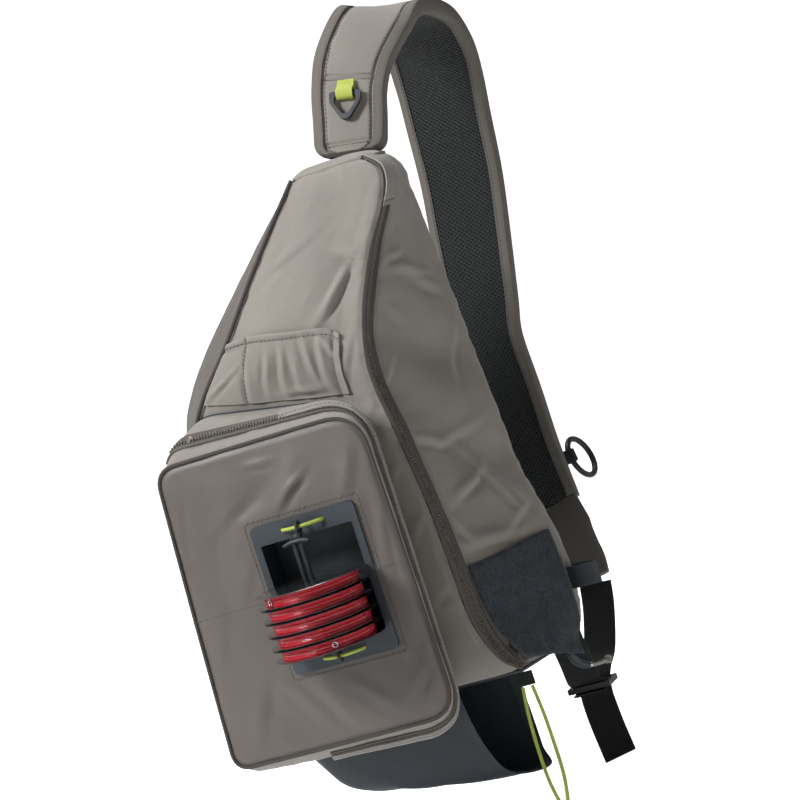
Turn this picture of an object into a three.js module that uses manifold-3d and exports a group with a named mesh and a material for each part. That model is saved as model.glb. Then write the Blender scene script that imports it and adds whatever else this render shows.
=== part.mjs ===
// A fishing tackle sling bag, in millimetres: X to the right, Y to the wearer, Z up.
// Pieces are placed from the middle of the body's lower back edge. At the end the whole bag is moved
// so that its origin is the underside of the strap's highest point, where the bag hangs.
import * as THREE from "three";
import { mergeVertices } from "three/addons/utils/BufferGeometryUtils.js";
import Module from "manifold-3d";

const wasm = await Module();
wasm.setup();

// Main body
const BODY_HEIGHT = 370;
const BODY_WIDTH = 250;
const BODY_DEPTH = 113;
const BODY_SWELL = 8;
const CLOTH = 2;
const BACK_PADDING = 6;
const TOP_DOME = 3;
const BODY_STEPS_UP = 17;
const ZIP_TAPE = 14;
const ZIP_CLOTH = 1.4;
const PIPING_RADIUS = 1.6;
const SEAM_GAP = 0.4;
const LAID_ON = 0.9;

// Front pocket
const POCKET_WIDTH = 166;
const POCKET_HEIGHT = 212;
const POCKET_DEPTH = 45;
const POCKET_ACROSS = -61;
const POCKET_UP = 102;
const POCKET_SWELL = 3;
const POCKET_ZIP = 12;

// Tippet dock and its spools
const DOCK_WIDTH = 78;
const DOCK_HEIGHT = 104;
const DOCK_PLATE = 2;
const DOCK_ACROSS = 22;
const DOCK_UP = -1;
const WELL_WIDTH = 68;
const WELL_HEIGHT = 75;
const WELL_DEPTH = 25;
const SPOOLS = 5;
const SPOOL_DIAMETER = 76;
const SPOOL_WIDTH = 8.8;
const SPOOL_LINE_DIAMETER = 66;
const SPOOL_FLANGE = 1.3;
const SPOOL_BORE = 10.4;
const SPOOL_CLEARANCE = 0.5;
const SPOOL_PROUD = 19;
const SPOOL_SIDES = 18;
const ROD_DIAMETER = 3.2;
const ROD_SPACING = 4.6;
const CORD_DIAMETER = 2.6;

// Shoulder strap
const STRAP_WIDTH = 54;
const STRAP_REACH = 165;
const STRAP_PADDING = 8;
const STRAP_MESH = 2.6;
const STRAP_BINDING = 3.2;
const STRAP_END_THICK = 6;
const STRAP_STEPS = 27;
const WEBBING_WIDTH = 25;
const WEBBING = 1.6;
const D_RING_WIDTH = 23;
const D_RING_BAR = 3.4;
const NET_RING_DIAMETER = 36;
const NET_RING_BAR = 4.6;

// Lower right side
const SLEEVE_DROP = 75;
const SLEEVE_SPAN = 84;
const SLEEVE_CLOTH = 1.8;
const PATCH_CLOTH = 3;
const PATCH_HEIGHT = 73;
const LOOP_REACH = 22;
const LOOP_WIDTH = 16;
const PATCH_SLANT = 19;
const BUNGEE_DROP = 90;
const ADJUSTER_WIDTH = 33;
const ADJUSTER_LENGTH = 23;
const ADJUSTER_THICK = 4;
const PULL_CORD_DIAMETER = 3;
const PULL_TUBE_DIAMETER = 6;
const KNOT_DIAMETER = 9;
const ADJUSTER_SLOT = 7;

const LIGHT_CLOTH = new THREE.MeshStandardMaterial({ color: 0x9b958e, roughness: 0.85 });
const DARK_CLOTH = new THREE.MeshStandardMaterial({ color: 0x645e59, roughness: 0.7 });
const SHINY_CLOTH = new THREE.MeshStandardMaterial({ color: 0x6e6762, roughness: 0.55 });
const SLATE = new THREE.MeshStandardMaterial({ color: 0x3a4046, roughness: 0.6 });
const FLEECE = new THREE.MeshStandardMaterial({ color: 0x3c444b, roughness: 1 });
const MESH_CLOTH = new THREE.MeshStandardMaterial({ color: 0x262e2e, roughness: 0.9 });
const BLACK = new THREE.MeshStandardMaterial({ color: 0x16181a, roughness: 0.5 });
const LIME = new THREE.MeshStandardMaterial({ color: 0xb9c855, roughness: 0.7 });
const RED_LINE = new THREE.MeshStandardMaterial({ color: 0xc81e2d, roughness: 0.4 });
const METAL = new THREE.MeshStandardMaterial({ color: 0x4a4e52, roughness: 0.35, metalness: 0.9 });
const PULL_CORD = new THREE.MeshStandardMaterial({ color: 0xaaa59b, roughness: 0.8 });

const bag = new THREE.Group();

function addPiece(name, geometry, material) {
  const mesh = new THREE.Mesh(geometry, material);
  mesh.name = name;
  bag.add(mesh);
  return mesh;
}

const vector = (x, y, z) => new THREE.Vector3(x, y, z);
const between = (a, b, share) => a + (b - a) * share;

// The value of one column of a table at a place along it, on a smooth curve through the rows.
function readColumn(rows, place, column, at) {
  let i = 0;
  while (i < rows.length - 2 && at > rows[i + 1][place]) i++;
  const slope = (j) => {
    const low = Math.max(j - 1, 0);
    const high = Math.min(j + 1, rows.length - 1);
    return (rows[high][column] - rows[low][column]) / (rows[high][place] - rows[low][place]);
  };
  const [a, b] = [rows[i], rows[i + 1]];
  const step = b[place] - a[place];
  const t = THREE.MathUtils.clamp((at - a[place]) / step, 0, 1);
  const [t2, t3] = [t * t, t * t * t];
  return (
    (2 * t3 - 3 * t2 + 1) * a[column] +
    (t3 - 2 * t2 + t) * step * slope(i) +
    (3 * t2 - 2 * t3) * b[column] +
    (t3 - t2) * step * slope(i + 1)
  );
}

// A closed body from its points and triangles, turned so that its faces look out.
function body(points, triangles) {
  let volume = 0;
  for (const [a, b, c] of triangles) {
    volume += points[a].dot(vector(0, 0, 0).crossVectors(points[b], points[c]));
  }
  const index = triangles.flatMap(([a, b, c]) => (volume < 0 ? [a, c, b] : [a, b, c]));
  const geometry = new THREE.BufferGeometry();
  const places = points.flatMap((p) => p.toArray());
  geometry.setAttribute("position", new THREE.Float32BufferAttribute(places, 3));
  geometry.setIndex(index);
  geometry.computeVertexNormals();
  return geometry;
}

// A wall between an outer and an inner grid of points. A ring's columns join end to end.
function wall(outer, inner, ring = false) {
  const rows = outer.length;
  const columns = outer[0].length;
  const points = [...outer.flat(), ...inner.flat()];
  const triangles = [];
  const at = (layer, row, column) => layer * rows * columns + row * columns + (column % columns);
  const quad = (a, b, c, d) => triangles.push([a, b, c], [a, c, d]);
  const spans = ring ? columns : columns - 1;
  for (let j = 0; j < spans; j++) {
    for (let i = 0; i < rows - 1; i++) {
      quad(at(0, i, j), at(0, i, j + 1), at(0, i + 1, j + 1), at(0, i + 1, j));
      quad(at(1, i, j), at(1, i + 1, j), at(1, i + 1, j + 1), at(1, i, j + 1));
    }
    quad(at(0, 0, j), at(1, 0, j), at(1, 0, j + 1), at(0, 0, j + 1));
    quad(at(0, rows - 1, j), at(0, rows - 1, j + 1), at(1, rows - 1, j + 1), at(1, rows - 1, j));
  }
  for (let i = 0; i < rows - 1 && !ring; i++) {
    quad(at(0, i, 0), at(0, i + 1, 0), at(1, i + 1, 0), at(1, i, 0));
    quad(at(0, i, spans), at(1, i, spans), at(1, i + 1, spans), at(0, i + 1, spans));
  }
  return body(points, triangles);
}

// A solid through closed sections with the same number of points. A looped one joins end to start.
function loft(sections, looped = false) {
  const count = sections[0].length;
  const points = sections.flat();
  const triangles = [];
  const at = (i, j) => (i % sections.length) * count + (j % count);
  for (let i = 0; i < sections.length - (looped ? 0 : 1); i++) {
    for (let j = 0; j < count; j++) {
      triangles.push([at(i, j), at(i, j + 1), at(i + 1, j + 1)]);
      triangles.push([at(i, j), at(i + 1, j + 1), at(i + 1, j)]);
    }
  }
  for (const end of looped ? [] : [0, sections.length - 1]) {
    const middle = sections[end].reduce((sum, p) => sum.add(p), vector(0, 0, 0)).divideScalar(count);
    const hub = points.push(middle) - 1;
    for (let j = 0; j < count; j++) {
      triangles.push(end === 0 ? [hub, at(0, j + 1), at(0, j)] : [hub, at(end, j), at(end, j + 1)]);
    }
  }
  return body(points, triangles);
}

// A round cord through points, its section turned with the path.
function cord(path, radius, sides = 8, looped = false) {
  const count = path.length;
  const sections = [];
  let side = null;
  for (let i = 0; i < count; i++) {
    const before = path[looped ? (i + count - 1) % count : Math.max(i - 1, 0)];
    const after = path[looped ? (i + 1) % count : Math.min(i + 1, count - 1)];
    const along = after.clone().sub(before).normalize();
    if (!side) side = Math.abs(along.z) < 0.9 ? vector(0, 0, 1) : vector(1, 0, 0);
    side = side.clone().addScaledVector(along, -side.dot(along)).normalize();
    const other = vector(0, 0, 0).crossVectors(along, side);
    sections.push(
      Array.from({ length: sides }, (_, j) => {
        const angle = (2 * Math.PI * j) / sides;
        const reach = side.clone().multiplyScalar(Math.cos(angle)).addScaledVector(other, Math.sin(angle));
        return path[i].clone().addScaledVector(reach, radius);
      }),
    );
  }
  return loft(sections, looped);
}

// A flat band: at each station a middle, a direction across, its width and its thickness. A broad
// one has a middle column too. A lower layer is listed the other way round, so that its triangles
// lie along those of the layer on it.
function band(stations, { broad = false, lower = false } = {}) {
  return loft(
    stations.map(({ middle, across, out, width, thick }) => {
      const side = across.clone().multiplyScalar(width / 2);
      const half = out.clone().multiplyScalar(thick / 2);
      const corner = (s, o) => middle.clone().addScaledVector(side, s).addScaledVector(half, o);
      const columns = broad ? [-1, 0, 1] : [-1, 1];
      const face = columns.map((s) => corner(s, lower ? 1 : -1));
      return [...face, ...columns.reverse().map((s) => corner(s, lower ? -1 : 1))];
    }),
  );
}

const smooth = (points, steps, closed = false) => {
  const curve = new THREE.CatmullRomCurve3(points, closed, "centripetal");
  const path = curve.getSpacedPoints(steps);
  return closed ? path.slice(0, -1) : path;
};

// The solid of a closed geometry, for joins and cuts.
function solidOf(geometry) {
  const plain = geometry.clone();
  plain.deleteAttribute("normal");
  plain.deleteAttribute("uv");
  const merged = mergeVertices(plain, 1e-4);
  return new wasm.Manifold(
    new wasm.Mesh({
      numProp: 3,
      vertProperties: new Float32Array(merged.attributes.position.array),
      triVerts: new Uint32Array(merged.index.array),
    }),
  );
}

function geometryOf(solid) {
  const made = solid.getMesh();
  const geometry = new THREE.BufferGeometry();
  geometry.setAttribute("position", new THREE.BufferAttribute(made.vertProperties, 3));
  geometry.setIndex(new THREE.BufferAttribute(made.triVerts, 1));
  geometry.computeVertexNormals();
  return geometry;
}

const joined = (geometries) => geometryOf(geometries.map(solidOf).reduce((sum, one) => sum.add(one)));

// The body's sections from its bottom to its top. The places across are shares of the body's width
// from its middle, the depth a share of the body's depth, the swells shares of the body's swell.
const BODY_ROWS = [
  {
    up: 0, backLeft: -0.584, frontLeft: -0.448, frontRight: 0.2, backRight: 0.264,
    depth: 0.796, front: 0, side: 0.2,
  },
  {
    up: 0.035, backLeft: -0.632, frontLeft: -0.488, frontRight: 0.164, backRight: 0.304,
    depth: 0.903, front: 0, side: 0.4,
  },
  {
    up: 0.119, backLeft: -0.66, frontLeft: -0.504, frontRight: 0.132, backRight: 0.32,
    depth: 0.973, front: 0, side: 0.7,
  },
  {
    up: 0.211, backLeft: -0.672, frontLeft: -0.504, frontRight: 0.128, backRight: 0.312,
    depth: 1, front: 0, side: 0.8,
  },
  {
    up: 0.349, backLeft: -0.676, frontLeft: -0.5, frontRight: 0.12, backRight: 0.268,
    depth: 1, front: 0, side: 1,
  },
  {
    up: 0.473, backLeft: -0.676, frontLeft: -0.488, frontRight: 0.1, backRight: 0.256,
    depth: 1, front: 0, side: 1,
  },
  {
    up: 0.595, backLeft: -0.664, frontLeft: -0.464, frontRight: 0.076, backRight: 0.244,
    depth: 1, front: 0, side: 1,
  },
  {
    up: 0.657, backLeft: -0.632, frontLeft: -0.412, frontRight: 0.08, backRight: 0.24,
    depth: 0.99, front: 0.6, side: 1,
  },
  {
    up: 0.741, backLeft: -0.536, frontLeft: -0.308, frontRight: 0.108, backRight: 0.232,
    depth: 0.93, front: 1, side: 1,
  },
  {
    up: 0.835, backLeft: -0.392, frontLeft: -0.212, frontRight: 0.16, backRight: 0.22,
    depth: 0.81, front: 1, side: 0.9,
  },
  {
    up: 0.914, backLeft: -0.264, frontLeft: -0.128, frontRight: 0.22, backRight: 0.208,
    depth: 0.7, front: 0.8, side: 0.6,
  },
  {
    up: 0.968, backLeft: -0.164, frontLeft: -0.068, frontRight: 0.228, backRight: 0.2,
    depth: 0.62, front: 0.6, side: 0.4,
  },
  {
    up: 1, backLeft: -0.104, frontLeft: -0.036, frontRight: 0.176, backRight: 0.164,
    depth: 0.55, front: 0.5, side: 0.3,
  },
];

// Folds and dents of the body's cloth: the place along and up its side, the length and width as
// shares of the body's width, how deep as a share of the swell, and the lean in degrees.
const BODY_FOLDS = [
  { side: "right", along: 0.55, up: 0.62, length: 0.3, width: 0.07, deep: 0.7, lean: 65 },
  { side: "right", along: 0.35, up: 0.5, length: 0.22, width: 0.07, deep: 0.6, lean: 40 },
  { side: "right", along: 0.6, up: 0.4, length: 0.26, width: 0.07, deep: 0.6, lean: 75 },
  { side: "right", along: 0.45, up: 0.28, length: 0.24, width: 0.08, deep: 0.5, lean: 50 },
  { side: "front", along: 0.86, up: 0.78, length: 0.26, width: 0.08, deep: 0.7, lean: 20 },
  { side: "front", along: 0.45, up: 0.86, length: 0.24, width: 0.1, deep: 0.3, lean: -25 },
  { side: "front", along: 0.5, up: 0.68, length: 0.2, width: 0.08, deep: 0.35, lean: -35 },
  { side: "left", along: 0.5, up: 0.7, length: 0.3, width: 0.1, deep: 0.4, lean: 10 },
];

function bodyRow(up) {
  const read = (column) => readColumn(BODY_ROWS, "up", column, up);
  const depth = -read("depth") * BODY_DEPTH;
  return {
    z: up * BODY_HEIGHT,
    frontLeft: [read("frontLeft") * BODY_WIDTH, depth],
    frontRight: [read("frontRight") * BODY_WIDTH, depth],
    backRight: [read("backRight") * BODY_WIDTH, 0],
    backLeft: [read("backLeft") * BODY_WIDTH, 0],
    front: read("front") * BODY_SWELL,
    right: read("side") * BODY_SWELL * 0.6,
    back: 0,
    left: read("side") * BODY_SWELL,
  };
}

const SIDE_ENDS = {
  front: ["frontLeft", "frontRight"],
  right: ["frontRight", "backRight"],
  back: ["backRight", "backLeft"],
  left: ["backLeft", "frontLeft"],
};

// A point of the body's outer surface, on one of its four sides.
function bodyPoint(side, along, up) {
  const row = bodyRow(up);
  const [start, end] = SIDE_ENDS[side].map((corner) => row[corner]);
  const length = Math.hypot(end[0] - start[0], end[1] - start[1]);
  const out = [(end[1] - start[1]) / length, -(end[0] - start[0]) / length];
  let swell = row[side] * 4 * along * (1 - along);
  for (const fold of BODY_FOLDS.filter((one) => one.side === side)) {
    const right = (along - fold.along) * length;
    const above = (up - fold.up) * BODY_HEIGHT;
    const lean = THREE.MathUtils.degToRad(fold.lean);
    const off = (right * Math.cos(lean) + above * Math.sin(lean)) / (fold.width * BODY_WIDTH);
    const on = (above * Math.cos(lean) - right * Math.sin(lean)) / (fold.length * BODY_WIDTH);
    swell -= fold.deep * BODY_SWELL * Math.exp(-off * off - on * on) * Math.min(1, 8 * along * (1 - along));
  }
  return vector(
    between(start[0], end[0], along) + out[0] * swell,
    between(start[1], end[1], along) + out[1] * swell,
    row.z,
  );
}

// The share of the right side that the zip's tape takes at a height.
function zipShare(up) {
  const { frontRight, backRight } = bodyRow(up);
  return ZIP_TAPE / Math.hypot(backRight[0] - frontRight[0], backRight[1] - frontRight[1]);
}

// The outward direction of the body's surface.
function bodyOut(side, along, up) {
  const step = 0.02;
  const [left, right] = [Math.max(along - step, 0), Math.min(along + step, 1)];
  const [low, high] = [Math.max(up - step, 0), Math.min(up + step, 1)];
  const across = bodyPoint(side, right, up).sub(bodyPoint(side, left, up));
  const rise = bodyPoint(side, along, high).sub(bodyPoint(side, along, low));
  return vector(0, 0, 0).crossVectors(across, rise).normalize();
}

// A point that stands off the body's surface.
function onBody(side, along, up, off) {
  return bodyPoint(side, along, up).addScaledVector(bodyOut(side, along, up), off);
}

const SPANS = [
  {
    name: "front_panel", side: "front", from: () => 0, to: () => 1, steps: 8,
    thick: CLOTH, material: LIGHT_CLOTH,
  },
  {
    name: "main_zipper", side: "right", from: () => 0, to: zipShare, steps: 2,
    thick: ZIP_CLOTH, material: DARK_CLOTH,
  },
  {
    name: "gusset_right", side: "right", from: zipShare, to: () => 1, steps: 7,
    thick: CLOTH, material: LIGHT_CLOTH,
  },
  {
    name: "back_panel", side: "back", from: () => 0, to: () => 1, steps: 4,
    thick: BACK_PADDING, material: MESH_CLOTH,
  },
  {
    name: "side_panel_left", side: "left", from: () => 0, to: () => 1, steps: 5,
    thick: CLOTH, material: DARK_CLOTH,
  },
];

function bodyLoop(up) {
  return SPANS.flatMap(({ side, from, to, steps }) =>
    Array.from({ length: steps }, (_, i) => bodyPoint(side, between(from(up), to(up), i / steps), up)),
  );
}

const SHARPEST_CORNER = 0.42;

// For each point of a stack of closed loops, the way out, lengthened at corners so that walls mitre.
function loopOuts(loops) {
  const count = loops[0].length;
  return loops.map((loop, i) =>
    loop.map((point, j) => {
      const rise = loops[Math.min(i + 1, loops.length - 1)][j].clone().sub(loops[Math.max(i - 1, 0)][j]);
      const before = point.clone().sub(loop[(j + count - 1) % count]);
      const after = loop[(j + 1) % count].clone().sub(point);
      const outBefore = before.cross(rise).normalize();
      const outAfter = after.cross(rise).normalize();
      const out = outBefore.clone().add(outAfter).normalize();
      return out.divideScalar(Math.max(out.dot(outAfter), SHARPEST_CORNER));
    }),
  );
}

// Draws a row's two ends in by half a seam's gap, or more.
function trimmed(row, gap = SEAM_GAP) {
  const ends = [
    [0, 1],
    [row.length - 1, row.length - 2],
  ];
  const made = row.map((p) => p.clone());
  for (const [end, next] of ends) {
    const inward = row[next].clone().sub(row[end]).normalize();
    made[end].addScaledVector(inward, gap / 2);
  }
  return made;
}

const bodyUps = Array.from({ length: BODY_STEPS_UP + 1 }, (_, i) => i / BODY_STEPS_UP);
const bodyLoops = bodyUps.map(bodyLoop);
const bodyOuts = loopOuts(bodyLoops);

function makeBodyPanels() {
  let first = 0;
  for (const { name, steps, thick, material } of SPANS) {
    const columns = Array.from({ length: steps + 1 }, (_, j) => (first + j) % bodyLoops[0].length);
    const gap = thick > CLOTH ? 8 * SEAM_GAP : SEAM_GAP;
    const outerGap = thick > CLOTH ? 6 * SEAM_GAP : SEAM_GAP;
    const outer = bodyLoops.map((loop) => trimmed(columns.map((j) => loop[j]), outerGap));
    const inner = bodyLoops.map((loop, i) => {
      const rim = i === 0 || i === BODY_STEPS_UP;
      const row = columns.map((j) => {
        const point = loop[j].clone().addScaledVector(bodyOuts[i][j], -thick);
        return rim ? point.setZ(loop[j].z) : point;
      });
      return trimmed(row, gap);
    });
    addPiece(name, wall(outer, inner), material);
    first += steps;
  }
}

// A cap over a level loop: a raised middle with a sloping rim, one cloth thick.
const CAP_SLOPE = 0.34;

function cap(loop, rise, thick) {
  const count = loop.length;
  const middle = loop.reduce((sum, p) => sum.clone().add(p), vector(0, 0, 0)).divideScalar(count);
  const layer = (lift) => [
    loop.map((p) => p.clone().add(vector(0, 0, lift))),
    loop.map((p) => p.clone().lerp(middle, CAP_SLOPE).add(vector(0, 0, lift + rise))),
  ];
  const points = [];
  const triangles = [];
  const rings = [...layer(0), ...layer(thick)].map((ring) => ring.map((p) => points.push(p) - 1));
  const hubs = [0, thick].map((lift) => points.push(middle.clone().add(vector(0, 0, lift + rise))) - 1);
  for (let j = 0; j < count; j++) {
    const k = (j + 1) % count;
    for (const [low, high] of [
      [0, 1],
      [3, 2],
      [2, 0],
    ]) {
      triangles.push([rings[low][j], rings[high][k], rings[low][k]]);
      triangles.push([rings[low][j], rings[high][j], rings[high][k]]);
    }
    triangles.push([rings[1][j], hubs[0], rings[1][k]], [rings[3][k], hubs[1], rings[3][j]]);
  }
  return body(points, triangles);
}

function makeCaps() {
  const last = bodyLoops[bodyLoops.length - 1];
  const top = last.map((p) => p.clone().add(vector(0, 0, SEAM_GAP)));
  addPiece("top_panel", cap(top, TOP_DOME - CLOTH, CLOTH), LIGHT_CLOTH);
  const bottom = bodyLoops[0].map((p) => p.clone().add(vector(0, 0, -SEAM_GAP - CLOTH)));
  addPiece("bottom_panel", cap(bottom, 0, CLOTH), SLATE);
}

const PIPING_LOW = 0.62;

function makeBodyPiping() {
  const shown = bodyLoops.map((loop, i) => i).filter((i) => bodyUps[i] > PIPING_LOW);
  const seam = shown.map((i) =>
    bodyLoops[i][0].clone().addScaledVector(bodyOuts[i][0].clone().normalize(), PIPING_RADIUS + LAID_ON),
  );
  addPiece("body_piping", cord(seam, PIPING_RADIUS, 6), BLACK);
}

// A piece of cloth laid on one side of the body, between two edges up and along it.
function laidOnBody({ side, left, right, low, high, along, rise, off, thick }) {
  const grid = (distance) =>
    Array.from({ length: rise + 1 }, (_, i) =>
      Array.from({ length: along + 1 }, (_, j) => {
        const share = j / along;
        const up = between(low(share), high(share), i / rise);
        return onBody(side, between(left(up), right(up), share), up, distance);
      }),
    );
  return wall(grid(off + thick), grid(off));
}

// The slip pocket's top edge: how high on the body it is at each share of its width.
const SLIP_TOP = [
  { across: 0, up: 0.741 },
  { across: 0.2, up: 0.743 },
  { across: 0.6, up: 0.73 },
  { across: 0.9, up: 0.716 },
  { across: 1, up: 0.7 },
];
// The clear height between the front pocket's back and the slip pocket's lower edge.
const SLIP_ABOVE_POCKET = 5;

function slipBottom(share) {
  const pocketTop = POCKET_UP + between(REAR_CORNERS[3].up, REAR_CORNERS[2].up, share) * POCKET_HEIGHT;
  return (pocketTop + SLIP_ABOVE_POCKET) / BODY_HEIGHT;
}

function makeSlipPocket() {
  const piece = laidOnBody({
    side: "front",
    left: () => 0.03,
    right: () => 0.87,
    low: slipBottom,
    high: (share) => readColumn(SLIP_TOP, "across", "up", share),
    along: 8,
    rise: 4,
    off: LAID_ON,
    thick: CLOTH * 0.6,
  });
  addPiece("slip_pocket", piece, LIGHT_CLOTH);
}

const ZIP_TAB = { low: 0.89, high: 0.975 };
const ZIP_END = { low: 0.012, high: 0.05, along: 0.62 };

function makeZipperEnds() {
  const tab = laidOnBody({
    side: "right",
    left: () => 0.03,
    right: (up) => zipShare(up) * 1.35,
    low: () => ZIP_TAB.low,
    high: () => ZIP_TAB.high,
    along: 2,
    rise: 4,
    off: LAID_ON,
    thick: ZIP_CLOTH,
  });
  addPiece("zipper_tab", tab, LIGHT_CLOTH);
  const end = laidOnBody({
    side: "right",
    left: zipShare,
    right: () => ZIP_END.along,
    low: () => ZIP_END.low,
    high: () => ZIP_END.high,
    along: 5,
    rise: 1,
    off: LAID_ON,
    thick: ZIP_CLOTH,
  });
  addPiece("zipper_end", end, DARK_CLOTH);
}

// A four-sided outline with rounded corners, as shares of the pocket's width and height from its
// middle, listed counter-clockwise as seen from the front.
const FACE_CORNERS = [
  { across: -0.505, up: -0.5, round: 0.08 },
  { across: 0.5, up: -0.5, round: 0.14 },
  { across: 0.485, up: 0.5, round: 0.16 },
  { across: -0.43, up: 0.5, round: 0.09 },
];
const REAR_CORNERS = [
  { across: -0.56, up: -0.555, round: 0.12 },
  { across: 0.4, up: -0.6, round: 0.2 },
  { across: 0.42, up: 0.53, round: 0.2 },
  { across: -0.34, up: 0.63, round: 0.13 },
];
const EDGE_STEPS = 6;
const ROUND_STEPS = 3;

function outline(corners, width, height, edgeSteps = EDGE_STEPS, roundSteps = ROUND_STEPS) {
  const place = corners.map(({ across, up }) => new THREE.Vector2(across * width, up * height));
  const count = corners.length;
  const toward = (i, j) => {
    const way = place[j].clone().sub(place[i]).normalize();
    return place[i].clone().addScaledVector(way, corners[i].round * width);
  };
  const points = [];
  for (let i = 0; i < count; i++) {
    const next = (i + 1) % count;
    const [start, end] = [toward(i, next), toward(next, i)];
    for (let s = 0; s < edgeSteps; s++) points.push(start.clone().lerp(end, s / edgeSteps));
    const turn = new THREE.QuadraticBezierCurve(end, place[next], toward(next, (next + 1) % count));
    for (let s = 0; s < roundSteps; s++) points.push(turn.getPoint(s / roundSteps));
  }
  return points;
}

const faceOutline = outline(FACE_CORNERS, POCKET_WIDTH, POCKET_HEIGHT);
const rearOutline = outline(REAR_CORNERS, POCKET_WIDTH, POCKET_HEIGHT);
const POCKET_BACK_Y = -(BODY_DEPTH + LAID_ON);
const GUSSET_REAR_Y = POCKET_BACK_Y - CLOTH - SEAM_GAP;
const GUSSET_FRONT_Y = GUSSET_REAR_Y - POCKET_DEPTH + CLOTH;
const FACE_Y = GUSSET_FRONT_Y - SEAM_GAP;
const GUSSET_STEPS = 3;

const onPocket = (point, y) => vector(POCKET_ACROSS + point.x, y, POCKET_UP + point.y);

// A ring round the pocket's side: 0 at the body, 1 at the face.
function gussetRing(depth) {
  return faceOutline.map((front, j) => {
    const flat = rearOutline[j].clone().lerp(front, depth);
    flat.multiplyScalar(1 + 0.02 * 4 * depth * (1 - depth));
    return onPocket(flat, between(GUSSET_REAR_Y, GUSSET_FRONT_Y, depth));
  });
}

const gussetRings = Array.from({ length: GUSSET_STEPS + 1 }, (_, i) => gussetRing(i / GUSSET_STEPS));
const gussetOuts = loopOuts(gussetRings).map((ring) => ring.map((out) => out.negate()));

// The dents of the pocket's face: the place as shares of its width and height, the size as shares
// of its width, how deep as a share of its swell, and the lean in degrees.
const FACE_DENTS = [
  { across: -0.1, up: 0.3, length: 0.2, width: 0.05, deep: 0.8, lean: 35 },
  { across: 0.12, up: 0.36, length: 0.16, width: 0.05, deep: -0.5, lean: 60 },
  { across: -0.3, up: 0.1, length: 0.3, width: 0.06, deep: 0.5, lean: 80 },
  { across: -0.2, up: -0.38, length: 0.3, width: 0.06, deep: 0.6, lean: -60 },
  { across: 0.42, up: 0.2, length: 0.2, width: 0.04, deep: 0.5, lean: 85 },
];

// How far the face stands out before its rim.
function faceSwell(point, depth) {
  let swell = POCKET_SWELL * Math.sin((Math.min(depth * 1.2, 1) * Math.PI) / 2);
  for (const dent of FACE_DENTS) {
    const right = point.x - dent.across * POCKET_WIDTH;
    const above = point.y - dent.up * POCKET_HEIGHT;
    const lean = THREE.MathUtils.degToRad(dent.lean);
    const off = (above * Math.cos(lean) - right * Math.sin(lean)) / (dent.width * POCKET_WIDTH);
    const on = (right * Math.cos(lean) + above * Math.sin(lean)) / (dent.length * POCKET_WIDTH);
    swell -= dent.deep * POCKET_SWELL * Math.exp(-off * off - on * on) * Math.sin(Math.PI * depth);
  }
  return swell;
}

const WINDOW_LAP = 4;
const DOCK_ROUND = 0.05;
const FACE_RINGS = 4;

function dockOutline(width, height) {
  const corners = [
    { across: -0.5, up: -0.5 },
    { across: 0.5, up: -0.5 },
    { across: 0.5, up: 0.5 },
    { across: -0.5, up: 0.5 },
  ];
  return outline(corners.map((corner) => ({ ...corner, round: DOCK_ROUND })), width, height);
}

function makePocket() {
  const frontEdge = gussetRings.map((ring, i) =>
    ring.map((p, j) => p.clone().addScaledVector(gussetOuts[i][j], -CLOTH).setY(p.y)),
  );
  addPiece("pocket_gusset", wall(gussetRings, frontEdge, true), LIGHT_CLOTH);

  const window = dockOutline(DOCK_WIDTH - 2 * WINDOW_LAP, DOCK_HEIGHT - 2 * WINDOW_LAP);
  const face = (back) =>
    Array.from({ length: FACE_RINGS + 1 }, (_, i) =>
      faceOutline.map((rim, j) => {
        const depth = i / FACE_RINGS;
        const hole = window[j].clone().add(new THREE.Vector2(DOCK_ACROSS, DOCK_UP));
        const flat = rim.clone().lerp(hole, depth);
        return onPocket(flat, FACE_Y - faceSwell(flat, depth) - (back ? 0 : CLOTH));
      }),
    );
  addPiece("pocket_face", wall(face(false), face(true), true), SHINY_CLOTH);

  const plate = new THREE.ExtrudeGeometry(new THREE.Shape(rearOutline), { depth: CLOTH, bevelEnabled: false });
  plate.rotateX(Math.PI / 2).translate(POCKET_ACROSS, POCKET_BACK_Y, POCKET_UP);
  addPiece("pocket_back", plate, SLATE);

  const middle = faceOutline.reduce((sum, p) => sum.clone().add(p)).divideScalar(faceOutline.length);
  const seam = faceOutline.map((p) => {
    const way = p.clone().sub(middle).normalize();
    const clear = PIPING_RADIUS * 1.5 + SEAM_GAP;
    return onPocket(p.clone().addScaledVector(way, clear), FACE_Y - CLOTH / 2);
  });
  addPiece("pocket_piping", cord(seam, PIPING_RADIUS, 6, true), BLACK);
}

// A strip laid on the pocket's side, over the outline's columns from first to last.
function laidOnPocket(first, last, depthLow, depthHigh, off, thick, steps = 1) {
  const grid = (distance) =>
    Array.from({ length: steps + 1 }, (_, i) => {
      const depth = between(depthLow, depthHigh, i / steps);
      const ring = gussetRing(depth);
      const place = depth * GUSSET_STEPS;
      const low = Math.min(Math.floor(place), GUSSET_STEPS - 1);
      return ring.slice(first, last + 1).map((p, j) => {
        const out = gussetOuts[low][first + j].clone().lerp(gussetOuts[low + 1][first + j], place - low);
        return p.clone().addScaledVector(out, distance);
      });
    });
  return wall(grid(off + thick), grid(off));
}

// Columns of the outline: the bottom edge starts at 0, then the right, top and left edges follow.
const SIDE_COLUMNS = EDGE_STEPS + ROUND_STEPS;
const ZIP_FIRST = 3;
const ZIP_LAST = 3 * SIDE_COLUMNS - 1;
const FLAP_LAST = 2 * SIDE_COLUMNS + 1;
const ZIP_DEPTHS = { low: 0.46, high: 0.46 + POCKET_ZIP / POCKET_DEPTH };
const FLAP_DEPTHS = { low: 0.36, high: 0.62 };

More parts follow.
